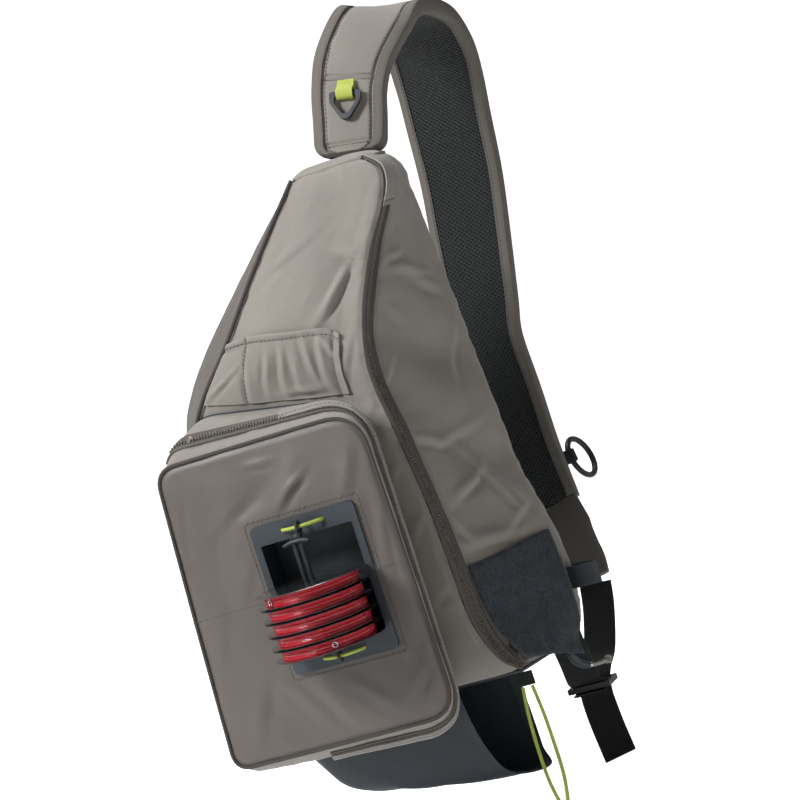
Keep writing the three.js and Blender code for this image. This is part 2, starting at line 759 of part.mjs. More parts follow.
function makePocketZipper() {
  const zip = laidOnPocket(ZIP_FIRST, ZIP_LAST, ZIP_DEPTHS.low, ZIP_DEPTHS.high, LAID_ON, ZIP_CLOTH);
  addPiece("pocket_zipper", zip, DARK_CLOTH);
  const off = LAID_ON + ZIP_CLOTH + SEAM_GAP;
  const flap = laidOnPocket(ZIP_FIRST, FLAP_LAST, FLAP_DEPTHS.low, FLAP_DEPTHS.high, off, CLOTH * 0.7);
  addPiece("pocket_flap", flap, LIGHT_CLOTH);
}

makeBodyPanels();
makeCaps();
makeBodyPiping();
makeSlipPocket();
makeZipperEnds();
makePocket();
makePocketZipper();

// The tippet dock: a plate with a well, set over the window in the pocket's face.
const DOCK_X = POCKET_ACROSS + DOCK_ACROSS;
const DOCK_Z = POCKET_UP + DOCK_UP;
const PLATE_BACK_Y = FACE_Y - CLOTH - POCKET_SWELL - SEAM_GAP;
const PLATE_FRONT_Y = PLATE_BACK_Y - DOCK_PLATE;
const WELL_WALL = 1.6;
const WELL_DROP = 1;
const HOLE_REACH = 14.5;
const HOLE_EDGE = 6.5;
const SPOOL_AXIS_Y = PLATE_FRONT_Y - SPOOL_PROUD;
const CORD_UPS = [DOCK_Z + DOCK_HEIGHT / 2 - HOLE_EDGE, DOCK_Z - DOCK_HEIGHT / 2 + HOLE_EDGE];

const boxAt = (width, depth, height, x, y, z) => new THREE.BoxGeometry(width, depth, height).translate(x, y, z);

function makeDock() {
  const shape = new THREE.Shape(dockOutline(DOCK_WIDTH, DOCK_HEIGHT));
  const plate = new THREE.ExtrudeGeometry(shape, { depth: DOCK_PLATE, bevelEnabled: false });
  plate.rotateX(Math.PI / 2).translate(DOCK_X, PLATE_BACK_Y, DOCK_Z);
  const cupDepth = WELL_DEPTH + WELL_WALL - DOCK_PLATE / 2;
  const wide = Math.min(WELL_WIDTH + 2 * WELL_WALL, DOCK_WIDTH - 2 * WINDOW_LAP - 1);
  const tall = WELL_HEIGHT + 2 * WELL_WALL;
  const cupY = PLATE_FRONT_Y + DOCK_PLATE / 2 + cupDepth / 2;
  const wellZ = DOCK_Z + WELL_DROP;
  let tray = solidOf(plate).add(solidOf(boxAt(wide, cupDepth, tall, DOCK_X, cupY, wellZ)));
  const well = boxAt(WELL_WIDTH, WELL_DEPTH + 2, WELL_HEIGHT, DOCK_X, PLATE_FRONT_Y + WELL_DEPTH / 2 - 1, wellZ);
  tray = tray.subtract(solidOf(well));
  for (const z of CORD_UPS) {
    for (const side of [-1, 1]) {
      const radius = CORD_DIAMETER / 2 + SEAM_GAP;
      const hole = new THREE.CylinderGeometry(radius, radius, 3 * DOCK_PLATE, 10);
      hole.translate(DOCK_X + side * HOLE_REACH, (PLATE_BACK_Y + PLATE_FRONT_Y) / 2, z);
      tray = tray.subtract(solidOf(hole));
    }
  }
  addPiece("dock_tray", geometryOf(tray), SLATE);
}

const EYE_RADIUS = CORD_DIAMETER / 2 + 0.6 + ROD_DIAMETER * 0.4;
// How far the eyes lie behind the rods, from how far those stand proud of the plate.
const EYE_LEAN = SPOOL_PROUD - 8.6;
const NECK = 4;
const CROSS_PIECE = { width: 19, thick: 2.4, height: 4, drop: 5 };

function makeDockBar() {
  const [top, bottom] = CORD_UPS;
  const ends = EYE_RADIUS + 1;
  const rodLength = top - bottom - 2 * ends;
  const pieces = [-1, 1].map((side) =>
    new THREE.CylinderGeometry(ROD_DIAMETER / 2, ROD_DIAMETER / 2, rodLength, 8)
      .rotateX(Math.PI / 2)
      .translate(DOCK_X + (side * ROD_SPACING) / 2, SPOOL_AXIS_Y, (top + bottom) / 2),
  );
  const eyeY = SPOOL_AXIS_Y + EYE_LEAN;
  for (const [z, way] of [
    [top, -1],
    [bottom, 1],
  ]) {
    const eye = new THREE.TorusGeometry(EYE_RADIUS, ROD_DIAMETER * 0.4, 5, 10).rotateY(Math.PI / 2);
    pieces.push(eye.translate(DOCK_X, eyeY, z));
    const neckZ = z + way * (EYE_RADIUS + NECK / 2);
    const neckY = SPOOL_AXIS_Y + EYE_LEAN / 2;
    pieces.push(boxAt(ROD_SPACING, ROD_DIAMETER + EYE_LEAN, NECK, DOCK_X, neckY, neckZ));
  }
  const { width, thick, height, drop } = CROSS_PIECE;
  const crossY = SPOOL_AXIS_Y - ROD_DIAMETER / 2;
  const crossPiece = boxAt(width, thick, height, DOCK_X, crossY, top - EYE_RADIUS - drop);
  addPiece("dock_bar", joined([...pieces, crossPiece]), BLACK);

  for (const [name, z] of [
    ["dock_cord_top", top],
    ["dock_cord_bottom", bottom],
  ]) {
    const place = (x, y) => vector(DOCK_X + x * HOLE_REACH, y, z);
    const behind = PLATE_BACK_Y + 2.5;
    const path = [
      place(-1, behind),
      place(-1, PLATE_FRONT_Y - 1),
      place(-0.75, between(PLATE_FRONT_Y, eyeY, 0.55)),
      place(-0.25, eyeY),
      place(0.25, eyeY),
      place(0.75, between(PLATE_FRONT_Y, eyeY, 0.55)),
      place(1, PLATE_FRONT_Y - 1),
      place(1, behind),
    ];
    addPiece(name, cord(smooth(path, 14), CORD_DIAMETER / 2, 6), LIME);
  }
}

function makeSpools() {
  const [line, rim, bore] = [SPOOL_LINE_DIAMETER, SPOOL_DIAMETER, SPOOL_BORE].map((d) => d / 2);
  const half = SPOOL_WIDTH / 2;
  const profile = [
    [bore, -half],
    [rim, -half],
    [rim, -half + SPOOL_FLANGE * 0.7],
    [line, -half + SPOOL_FLANGE],
    [line, half - SPOOL_FLANGE],
    [rim, half - SPOOL_FLANGE * 0.7],
    [rim, half],
    [bore, half],
    [bore, -half],
  ].map(([r, z]) => new THREE.Vector2(r, z));
  const pitch = SPOOL_WIDTH + SPOOL_CLEARANCE;
  const lowest = DOCK_Z + WELL_DROP - WELL_HEIGHT / 2 + SPOOL_WIDTH / 2 + SPOOL_CLEARANCE;
  for (let i = 0; i < SPOOLS; i++) {
    const spool = new THREE.LatheGeometry(profile, SPOOL_SIDES).rotateX(Math.PI / 2);
    spool.translate(DOCK_X, SPOOL_AXIS_Y, lowest + i * pitch);
    addPiece(`spool_${i + 1}`, geometryOf(solidOf(spool)), RED_LINE);
  }
}

makeDock();
makeDockBar();
makeSpools();

// The strap's middle line from its root to its end: the place across as a share of the body's width,
// behind as a share of the strap's reach, up as a share of the body's height. The width is a share of
// the strap's own, and its direction is given by its turn behind and its fall, both per unit across.
const STRAP_ROWS = [
  { along: 0, across: 0.076, behind: -0.05, up: 1.023, width: 0.93, turn: 0, fall: -0.06 },
  { along: 1, across: 0.09, behind: 0, up: 1.072, width: 0.94, turn: 0.02, fall: -0.24 },
  { along: 2, across: 0.106, behind: 0.06, up: 1.138, width: 0.96, turn: 0.05, fall: -0.28 },
  { along: 3, across: 0.134, behind: 0.16, up: 1.2, width: 1, turn: 0.2, fall: -0.28 },
  { along: 4, across: 0.19, behind: 0.37, up: 1.262, width: 1.05, turn: 0.35, fall: -0.22 },
  { along: 5, across: 0.228, behind: 0.6, up: 1.24, width: 1.12, turn: 0.1, fall: -0.14 },
  { along: 6, across: 0.224, behind: 0.76, up: 1.186, width: 1.2, turn: -0.1, fall: -0.04 },
  { along: 7, across: 0.2, behind: 0.88, up: 1.118, width: 1.22, turn: -0.12, fall: 0 },
  { along: 8, across: 0.176, behind: 0.94, up: 1.03, width: 1.2, turn: -0.12, fall: 0 },
  { along: 9, across: 0.152, behind: 0.98, up: 0.915, width: 1.15, turn: -0.06, fall: 0 },
  { along: 10, across: 0.124, behind: 0.985, up: 0.8, width: 1.11, turn: -0.05, fall: 0 },
  { along: 11, across: 0.096, behind: 0.96, up: 0.66, width: 1.02, turn: 0, fall: 0 },
  { along: 12, across: 0.08, behind: 0.925, up: 0.575, width: 1, turn: 0, fall: 0 },
  { along: 13, across: 0.096, behind: 0.895, up: 0.45, width: 0.94, turn: 0, fall: 0 },
  { along: 14, across: 0.116, behind: 0.84, up: 0.33, width: 0.87, turn: 0, fall: 0 },
  { along: 15, across: 0.156, behind: 0.75, up: 0.215, width: 0.76, turn: 0.05, fall: -0.05 },
];
const STRAP_LAST = STRAP_ROWS[STRAP_ROWS.length - 1].along;

function strapMiddle(along) {
  const read = (column) => readColumn(STRAP_ROWS, "along", column, along);
  return vector(read("across") * BODY_WIDTH, read("behind") * STRAP_REACH, read("up") * BODY_HEIGHT);
}

// The strap's station at a place along it: its middle, the way across it and the way out of it.
function strapStation(along) {
  const read = (column) => readColumn(STRAP_ROWS, "along", column, along);
  const step = 0.1;
  const forward = strapMiddle(Math.min(along + step, STRAP_LAST)).sub(strapMiddle(Math.max(along - step, 0)));
  const across = vector(1, read("turn"), read("fall"));
  forward.normalize();
  across.addScaledVector(forward, -across.dot(forward)).normalize();
  const out = vector(0, 0, 0).crossVectors(across, forward);
  return { middle: strapMiddle(along), across, out, forward, width: read("width") * STRAP_WIDTH };
}

// One layer of the strap: its place out of the strap's middle and across it, and its own size.
function strapLayer({ out = 0, side = 0, width, thick, ...kind }) {
  return band(
    Array.from({ length: STRAP_STEPS + 1 }, (_, i) => {
      const station = strapStation((i / STRAP_STEPS) * STRAP_LAST);
      const edge = side * (station.width / 2 + SEAM_GAP + STRAP_BINDING / 2);
      station.middle.addScaledVector(station.out, out).addScaledVector(station.across, edge);
      return { ...station, width: width(station.width), thick };
    }),
    kind,
  );
}

const STRAP_THICK = STRAP_PADDING + STRAP_MESH + SEAM_GAP;

function makeStrap() {
  addPiece(
    "strap_pad",
    strapLayer({ out: (STRAP_THICK - STRAP_PADDING) / 2, width: (w) => w, thick: STRAP_PADDING, broad: true }),
    LIGHT_CLOTH,
  );
  addPiece(
    "strap_mesh",
    strapLayer({ out: (STRAP_MESH - STRAP_THICK) / 2, width: (w) => w, thick: STRAP_MESH, broad: true, lower: true }),
    MESH_CLOTH,
  );
  for (const [name, side] of [
    ["strap_binding_left", -1],
    ["strap_binding_right", 1],
  ]) {
    addPiece(name, strapLayer({ side, width: () => STRAP_BINDING, thick: STRAP_THICK + 1 }), DARK_CLOTH);
  }
}

// The strap's end and the webbing below it. Places are shares as in the strap's table, the widths
// shares of the webbing's.
const END_ROOT_WIDTH = 1.62;
const END_ROWS = [
  { across: 0.19, behind: 0.7, up: 0.15, width: 1.6, turn: 0.15 },
  { across: 0.226, behind: 0.65, up: 0.1, width: 1.2, turn: 0.1 },
  { across: 0.24, behind: 0.61, up: 0.06, width: 1, turn: 0.05 },
];
const SLING_ROWS = [
  { across: 0.24, behind: 0.603, up: 0.05 },
  { across: 0.236, behind: 0.55, up: 0 },
  { across: 0.222, behind: 0.45, up: -0.07 },
  { across: 0.208, behind: 0.37, up: -0.1 },
];
const TAIL_ROWS = [
  { across: 0.202, behind: 0.3, up: -0.158 },
  { across: 0.216, behind: 0.25, up: -0.205 },
  { across: 0.236, behind: 0.2, up: -0.268 },
];
const ANCHOR_ROWS = [
  { across: 0.226, behind: 0, up: 0.07 },
  { across: 0.226, behind: 0, up: 0.03 },
  { across: 0.226, behind: 0.012, up: 0 },
  { across: 0.216, behind: 0.1, up: -0.06 },
  { across: 0.205, behind: 0.17, up: -0.1 },
];
const ADJUSTER_PLACE = { across: 0.2, behind: 0.297, up: -0.124 };

const placed = ({ across, behind, up }) => vector(across * BODY_WIDTH, behind * STRAP_REACH, up * BODY_HEIGHT);

const wayAt = (points, i) => {
  const after = points[Math.min(i + 1, points.length - 1)];
  return after.clone().sub(points[Math.max(i - 1, 0)]).normalize();
};

// The stations of a webbing whose line lies nearly in a plane square to its width.
function webbingStations(points, width, thick, turn = 0) {
  return points.map((middle, i) => {
    const forward = wayAt(points, i);
    const across = vector(1, turn, 0);
    across.addScaledVector(forward, -across.dot(forward)).normalize();
    const out = vector(0, 0, 0).crossVectors(across, forward);
    return { middle, across, out, width, thick };
  });
}

const webbing = (points, width, thick) => band(webbingStations(points, width, thick));

function makeStrapEnd() {
  const root = strapStation(STRAP_LAST);
  const first = root.middle.clone().addScaledVector(root.forward, SEAM_GAP);
  const points = [first, ...END_ROWS.map(placed)];
  const stations = END_ROWS.map(({ width, turn }, i) => ({
    ...webbingStations(points, width * WEBBING_WIDTH, STRAP_END_THICK, turn)[i + 1],
  }));
  const start = { ...root, middle: first, width: END_ROOT_WIDTH * WEBBING_WIDTH, thick: STRAP_END_THICK };
  addPiece("strap_end", band([start, ...stations]), DARK_CLOTH);
}

function makeLowerStrap() {
  makeStrapEnd();
  const middle = placed(ADJUSTER_PLACE);
  const bar = (ADJUSTER_LENGTH - 2 * ADJUSTER_SLOT) / 3;
  const slotY = (bar + ADJUSTER_SLOT) / 2;
  const from = (behind, up) => middle.clone().add(vector(0, behind, up));
  const over = ADJUSTER_THICK / 2 + SEAM_GAP + WEBBING / 2;
  const sling = [...SLING_ROWS.map(placed), from(slotY + 0.8, 1), from(slotY - 0.8, -over), ...TAIL_ROWS.map(placed)];
  addPiece("strap_webbing", webbing(smooth(sling, 22), WEBBING_WIDTH, WEBBING), BLACK);
  const under = over + WEBBING + SEAM_GAP;
  const anchor = [
    ...ANCHOR_ROWS.map(placed),
    from(-slotY - ADJUSTER_SLOT / 2 - bar, over + 0.6),
    from(-slotY - 0.6, over * 0.6),
    from(-slotY, -over * 0.6),
    from(-slotY - ADJUSTER_SLOT / 2, -over - 0.4),
    from(-slotY - ADJUSTER_SLOT / 2 - bar - 3, -over - 0.4),
  ];
  const onPanel = SEAM_GAP + WEBBING / 2;
  const anchorPath = smooth(anchor, 18).map((p) => p.setY(Math.max(p.y, onPanel)));
  addPiece("anchor_webbing", webbing(anchorPath, WEBBING_WIDTH, WEBBING), BLACK);
  let frame = solidOf(boxAt(ADJUSTER_WIDTH, ADJUSTER_LENGTH, ADJUSTER_THICK, middle.x, middle.y, middle.z));
  for (const side of [-1, 1]) {
    const slot = boxAt(WEBBING_WIDTH + 2, ADJUSTER_SLOT, under * 4, middle.x, middle.y + side * slotY, middle.z);
    frame = frame.subtract(solidOf(slot));
  }
  addPiece("strap_adjuster", geometryOf(frame), BLACK);
}

makeStrap();
makeLowerStrap();

// The bottle sleeve: a sling of cloth under the body, closed on the left and open on the right.
const SLEEVE_LEFT = -0.56;
const SLEEVE_ROWS = [
  { along: 0, drop: 0.06, spread: 0.55 },
  { along: 0.05, drop: 0.28, spread: 0.72 },
  { along: 0.1, drop: 0.46, spread: 0.84 },
  { along: 0.18, drop: 0.7, spread: 0.93 },
  { along: 0.29, drop: 0.8, spread: 0.98 },
  { along: 0.42, drop: 0.86, spread: 1 },
  { along: 0.6, drop: 0.92, spread: 1 },
  { along: 0.8, drop: 0.98, spread: 1 },
  { along: 1, drop: 1, spread: 1 },
];
const SLEEVE_MOUTH = [
  { around: 0, across: -0.004 },
  { around: 0.2, across: 0.024 },
  { around: 0.35, across: 0.05 },
  { around: 0.5, across: 0.128 },
  { around: 0.7, across: 0.09 },
  { around: 1, across: 0.06 },
];
const SLEEVE_STEPS = 10;
const SLEEVE_TOP = -(2 * SEAM_GAP + CLOTH + 0.2);

function sleevePoint(along, around, inset) {
  const read = (column) => readColumn(SLEEVE_ROWS, "along", column, along);
  const mouth = readColumn(SLEEVE_MOUTH, "around", "across", around) * BODY_WIDTH;
  const half = (SLEEVE_SPAN / 2) * read("spread") - inset;
  const drop = Math.max(SLEEVE_DROP * read("drop") - inset, 0.8);
  const angle = Math.PI * around;
  const left = SLEEVE_LEFT * BODY_WIDTH + inset * Math.sin(angle);
  const middleY = -BODY_DEPTH * 0.796 * 0.51;
  return vector(
    between(left, mouth, along),
    middleY - half * Math.sign(Math.cos(angle)) * Math.abs(Math.cos(angle)) ** 0.8,
    SLEEVE_TOP - drop * Math.sin(angle) ** 0.75,
  );
}

function makeSleeve() {
  const grid = (inset) =>
    Array.from({ length: SLEEVE_STEPS + 1 }, (_, i) =>
      Array.from({ length: SLEEVE_STEPS + 1 }, (_, j) => sleevePoint(i / SLEEVE_STEPS, j / SLEEVE_STEPS, inset)),
    );
  addPiece("bottle_sleeve", wall(grid(0), grid(SLEEVE_CLOTH)), SLATE);
}

makeSleeve();

// A fold of webbing round a bar, as points across its width: the place along and out of the surface.
function foldRound(radius, length, back) {
  return [
    [length, -back],
    [radius, -back],
    [-radius * 0.75, -radius * 0.75],
    [-radius, 0],
    [-radius * 0.7, radius * 0.7],
    [radius * 0.4, radius],
    [length * 0.55, -back + TAB_CLOTH + 1.6],
    [length, -back + TAB_CLOTH + SEAM_GAP],
  ];
}

const TAB_CLOTH = 1.2;
const D_RING_HEIGHT = 21;
const D_RING_ALONG = 1.72;
const NET_RING_ALONG = 14.3;
const D_RING_CORNERS = [
  { across: -0.5, up: 0.5, round: 0.1 },
  { across: -0.5, up: 0.12, round: 0.12 },
  { across: -0.13, up: -0.5, round: 0.1 },
  { across: 0.13, up: -0.5, round: 0.1 },
  { across: 0.5, up: 0.12, round: 0.12 },
  { across: 0.5, up: 0.5, round: 0.1 },
];

// Turns a geometry made as across, up the strap and out of it to its place on the strap. The side
// the geometry's up follows is 1 towards the strap's end and -1 towards its root.
function ontoStrap(geometry, along, way, across) {
  const station = strapStation(along);
  const up = way > 0 ? station.forward : vector(0, 0, 0).crossVectors(station.out, station.across);
  const turn = new THREE.Matrix4().makeBasis(station.across, up, station.out);
  turn.setPosition(station.middle.clone().addScaledVector(station.across, across));
  return geometry.applyMatrix4(turn);
}

function makeRings() {
  const height = D_RING_HEIGHT;
  const ringShape = new THREE.Shape(outline(D_RING_CORNERS, D_RING_WIDTH, height, 1, 3));
  const inside = outline(D_RING_CORNERS, D_RING_WIDTH - 2 * D_RING_BAR, height - 2.2 * D_RING_BAR, 1, 3);
  ringShape.holes.push(new THREE.Path(inside));
  const barHalf = Math.hypot(D_RING_BAR, D_RING_BAR) / 2;
  const radius = barHalf + SEAM_GAP + TAB_CLOTH / 2;
  const standOff = STRAP_THICK / 2 + SEAM_GAP + TAB_CLOTH / 2 + radius;
  const ring = new THREE.ExtrudeGeometry(ringShape, { depth: D_RING_BAR, bevelEnabled: false });
  ring.translate(0, D_RING_BAR * 0.55 - height / 2, standOff - D_RING_BAR / 2);
  addPiece("d_ring", ontoStrap(ring, D_RING_ALONG, 1, 0), METAL);
  const tabPoints = foldRound(radius, 11, radius).map(([along, off]) => vector(0, along, standOff + off));
  const tab = webbing(tabPoints, D_RING_WIDTH - 2 * D_RING_BAR - 4, TAB_CLOTH);
  addPiece("d_ring_tab", ontoStrap(tab, D_RING_ALONG, 1, 0), LIME);

  const bar = NET_RING_BAR / 2;
  const major = NET_RING_DIAMETER / 2 - bar;
  const reach = bar + 1.3 + TAB_CLOTH / 2;
  const ringOut = STRAP_THICK / 2 + SEAM_GAP + TAB_CLOTH + reach;
  const netRing = new THREE.TorusGeometry(major, bar, 6, 18).rotateY(Math.PI / 2).translate(0, 0, major);
  netRing.rotateY(NET_RING_TURN).translate(NET_RING_SIDE, 0, ringOut);
  const station = strapStation(NET_RING_ALONG);
  addPiece("net_ring", ontoStrap(netRing, NET_RING_ALONG, -1, station.width / 2), BLACK);
  const points = foldRound(reach, 15, ringOut - STRAP_THICK / 2 - SEAM_GAP - TAB_CLOTH / 2);
  const fold = points.map(([along, off]) => vector(0, along, off));
  const netTab = webbing(fold, NET_TAB_WIDTH, TAB_CLOTH);
  netTab.rotateZ(Math.PI / 2).translate(NET_RING_SIDE, 0, ringOut);
  addPiece("net_ring_tab", ontoStrap(netTab, NET_RING_ALONG, -1, station.width / 2), BLACK);
}

const NET_RING_TURN = Math.PI / 12;
const NET_RING_SIDE = 3.5;
const NET_TAB_WIDTH = 9;

// The fly patch lies on the right side at its top and hangs free at its bottom.
const PATCH_ABOVE_ZIP = 69.5;
const PATCH_LEFT = 0.125;
const PATCH_RIGHT = 0.88;
const PATCH_HANG = 9.5;

function patchPoint(share, fall, distance) {
  const top = ((ZIP_END.low + ZIP_END.high) / 2) * BODY_HEIGHT + PATCH_ABOVE_ZIP;
  const z = top - fall * (PATCH_HEIGHT + PATCH_SLANT * share);
  const along = between(PATCH_LEFT, PATCH_RIGHT, share);
  const point = onBody("right", along, Math.max(z, 0) / BODY_HEIGHT, LAID_ON + PATCH_HANG * fall * fall + distance);
  return point.setZ(z);
}

function makePatch() {
  const row = (fall, distance) => Array.from({ length: 6 }, (_, j) => patchPoint(j / 5, fall, distance));
  const grid = (distance) => Array.from({ length: 7 }, (_, i) => row(1 - i / 6, distance));
  addPiece("fly_patch", wall(grid(PATCH_CLOTH), grid(0)), FLEECE);
}

const TOOL_LOOP = { start: 0.915, end: 0.985, up: 0.115 };

function makeToolLoop() {
  const foot = (along, off) => onBody("right", along, TOOL_LOOP.up, off);
  const off = SEAM_GAP / 2 + TAB_CLOTH / 2;
  const points = [
    foot(TOOL_LOOP.start, off),
    foot(TOOL_LOOP.start - 0.01, LOOP_REACH * 0.45),
    foot(TOOL_LOOP.start + 0.02, LOOP_REACH),
    foot(TOOL_LOOP.end - 0.02, LOOP_REACH * 0.98),
    foot(TOOL_LOOP.end, LOOP_REACH * 0.5),
    foot(TOOL_LOOP.end - 0.005, off),
  ];
  const path = smooth(points, 14);
  const stations = path.map((middle, i) => {
    const across = vector(0, 0, 1);
    const out = vector(0, 0, 0).crossVectors(across, wayAt(path, i)).normalize();
    return { middle, across, out, width: LOOP_WIDTH, thick: TAB_CLOTH };
  });
  addPiece("tool_loop", band(stations), SLATE);
}

// A zip pull: a cord through a tube with a knot at its end.
function makePull(name, points) {
  const path = smooth(points, 12);
  const knot = new THREE.IcosahedronGeometry(KNOT_DIAMETER / 2, 1).translate(...path[path.length - 1].toArray());
  addPiece(`${name}_pull`, joined([cord(path, PULL_CORD_DIAMETER / 2, 8), knot]), PULL_CORD);
  const covered = path.slice(4, 9);
  const bore = path.slice(3, 10);
  const tube = solidOf(cord(covered, PULL_TUBE_DIAMETER / 2, 8));
  const hollow = tube.subtract(solidOf(cord(bore, PULL_CORD_DIAMETER / 2 + SEAM_GAP, 8)));
  addPiece(`${name}_pull_tube`, geometryOf(hollow), SLATE);
}

const SLIDER = { length: 11, width: 8, thick: 3 };

function sliderAt(middle, along, out) {
  const across = vector(0, 0, 0).crossVectors(out, along).normalize();
  const geometry = new THREE.BoxGeometry(SLIDER.length, SLIDER.width, SLIDER.thick);
  const turn = new THREE.Matrix4().makeBasis(along.clone().normalize(), across, out);
  return geometry.applyMatrix4(turn.setPosition(middle));
}

const POCKET_SLIDER_COLUMN = 2 * SIDE_COLUMNS + 3;

function makePulls() {
  const depth = (ZIP_DEPTHS.low + ZIP_DEPTHS.high) / 2;
  const ring = gussetRing(depth);
  const out = gussetOuts[2][POCKET_SLIDER_COLUMN].clone().normalize();
  const along = ring[POCKET_SLIDER_COLUMN + 1].clone().sub(ring[POCKET_SLIDER_COLUMN]).normalize();
  const off = LAID_ON + ZIP_CLOTH + SEAM_GAP + SLIDER.thick / 2;
  const middle = ring[POCKET_SLIDER_COLUMN].clone().addScaledVector(out, off);
  const square = out.clone().addScaledVector(along, -out.dot(along)).normalize();
  addPiece("pocket_slider", sliderAt(middle, along, square), METAL);
  const place = (forward, up) => middle.clone().addScaledVector(along, forward).addScaledVector(square, up);
  makePull("pocket", [place(SLIDER.length / 2 + SEAM_GAP, 0), place(16, 2.5), place(32, 3.5), place(49, 4.5)]);

  const [share, up] = [ZIP_END.along - 0.05, (ZIP_END.low + ZIP_END.high) / 2];
  const zipOut = bodyOut("right", share, up);
  const zipAlong = onBody("right", share + 0.05, up, 0).sub(onBody("right", share, up, 0)).normalize();
  const slider = onBody("right", share, up, off);
  addPiece("main_slider", sliderAt(slider, zipAlong, zipOut), METAL);
  const start = slider.clone().addScaledVector(zipAlong, SLIDER.length / 2 + SEAM_GAP + PULL_CORD_DIAMETER / 2);
  const shifted = (x, y, z) => start.clone().add(vector(x, y, z));
  makePull("main", [start, shifted(-1, 3, -9), shifted(0, 11, -24), shifted(7, 22, -31), shifted(17, 32, -32)]);
}

// The bungee: its tab under the body's front right edge, and a loop of cord that hangs from the tab.
const BUNGEE_TAB = { width: 13, thick: 3.4, height: 10 };
const BUNGEE_PLACE = { across: 0.184, depth: -0.69 };

function makeBungee() {
  const x = BUNGEE_PLACE.across * BODY_WIDTH;
  const y = BUNGEE_PLACE.depth * BODY_DEPTH;
  const top = -(2 * SEAM_GAP + CLOTH);
  const tab = boxAt(BUNGEE_TAB.width, BUNGEE_TAB.thick, BUNGEE_TAB.height, x, y, top - BUNGEE_TAB.height / 2);
  addPiece("bungee_tab", tab, BLACK);
  const start = top - BUNGEE_TAB.height - SEAM_GAP;
  const at = (across, behind, down) => vector(x + across, y + behind, start - down * BUNGEE_DROP);
  const route = [
    at(-3.5, 0, 0),
    at(-6, -1, 0.3),
    at(-5.5, -2, 0.75),
    at(0, -2, 1),
    at(5.5, -1, 0.75),
    at(5.5, 0, 0.3),
    at(3.5, 0, 0),
  ];
  addPiece("bungee_loop", cord(smooth(route, 22), CORD_DIAMETER / 2, 6), LIME);
}

makeRings();
makePatch();
makeToolLoop();
makePulls();
makeBungee();

const HANG_ALONG = 4.35;
const hang = strapStation(HANG_ALONG);
const hangPoint = hang.middle.addScaledVector(hang.out, -STRAP_THICK / 2);
bag.children.forEach((mesh) => mesh.position.sub(hangPoint));

export default bag;
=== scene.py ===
"""A fishing tackle sling bag, dressed over its packed model. Places are in millimetres from the middle of
the body's lower back edge, as in the part's source, and SHIFT takes them to the shared frame."""
import math

import bmesh
import bpy
import numpy as np
from mathutils import Matrix, Vector
from mathutils.bvhtree import BVHTree


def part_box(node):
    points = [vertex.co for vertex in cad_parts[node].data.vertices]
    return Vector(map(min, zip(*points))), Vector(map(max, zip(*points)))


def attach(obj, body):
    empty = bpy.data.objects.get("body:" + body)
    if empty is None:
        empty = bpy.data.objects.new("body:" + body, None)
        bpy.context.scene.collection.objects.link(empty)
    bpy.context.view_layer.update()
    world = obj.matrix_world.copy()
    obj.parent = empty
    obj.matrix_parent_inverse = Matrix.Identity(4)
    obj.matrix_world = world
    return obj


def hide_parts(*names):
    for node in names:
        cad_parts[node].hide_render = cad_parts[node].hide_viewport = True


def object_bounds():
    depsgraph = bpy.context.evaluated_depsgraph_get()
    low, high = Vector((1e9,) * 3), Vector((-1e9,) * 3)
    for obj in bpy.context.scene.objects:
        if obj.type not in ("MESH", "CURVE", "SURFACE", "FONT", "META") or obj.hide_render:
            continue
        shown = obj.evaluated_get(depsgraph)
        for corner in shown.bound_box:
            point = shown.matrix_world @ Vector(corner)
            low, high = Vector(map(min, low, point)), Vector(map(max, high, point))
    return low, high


bl_info = {
    "name": "Fishing tackle sling bag",
    "version": (1, 0, 0),
    "blender": (4, 5, 0),
    "location": "View3D > Sidebar > Sling Bag",
    "description": "Builds the looks of a fishing tackle sling bag around its packed model",
    "category": "Object",
}

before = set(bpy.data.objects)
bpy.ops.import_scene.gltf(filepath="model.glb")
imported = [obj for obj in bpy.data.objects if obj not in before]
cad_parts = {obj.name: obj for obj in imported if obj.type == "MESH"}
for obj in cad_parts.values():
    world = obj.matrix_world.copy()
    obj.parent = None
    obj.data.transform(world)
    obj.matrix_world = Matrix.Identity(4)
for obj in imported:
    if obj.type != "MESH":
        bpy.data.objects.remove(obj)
CAD_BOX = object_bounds()

# From the middle of the body's lower back edge to the shared frame's origin, in mm.
SHIFT = np.array([-50.717, -73.898, -461.467])

# Sizes shared with the part's source, in mm.
BODY_HEIGHT = 370.0
BODY_WIDTH = 250.0
BODY_DEPTH = 113.0
BODY_SWELL = 8.0
ZIP_TAPE = 14.0
CLOTH = 2.0
POCKET_WIDTH = 166.0
POCKET_HEIGHT = 212.0
POCKET_DEPTH = 45.0
POCKET_ACROSS = -61.0
POCKET_UP = 102.0
POCKET_SWELL = 3.0
GUSSET_REAR_Y = -116.3
GUSSET_FRONT_Y = -159.3
FACE_Y = -159.7
DOCK_X = -39.0
DOCK_Z = 101.0
DOCK_WIDTH = 78.0
DOCK_HEIGHT = 104.0
PLATE_FRONT_Y = -167.1
SPOOL_AXIS_Y = -186.1
EYE_LEAN = 10.4
STRAP_WIDTH = 54.0
STRAP_REACH = 165.0
STRAP_THICK = 11.0
SLEEVE_DROP = 75.0
SLEEVE_SPAN = 84.0
SLEEVE_CLOTH = 1.8
PATCH_WIDTH = 84.0
PATCH_HEIGHT = 73.0
PATCH_SLANT = 19.0
PATCH_HANG = 9.5
PATCH_LENGTH = 80.0
WEBBING = 25.0
WEBBING_THICK = 1.6
BUNGEE_DROP = 90.0
BUNGEE = 2.6
UP_WAY = np.array([0, 0, 1.0])
FORWARD_WAY = np.array([0, -1.0, 0])

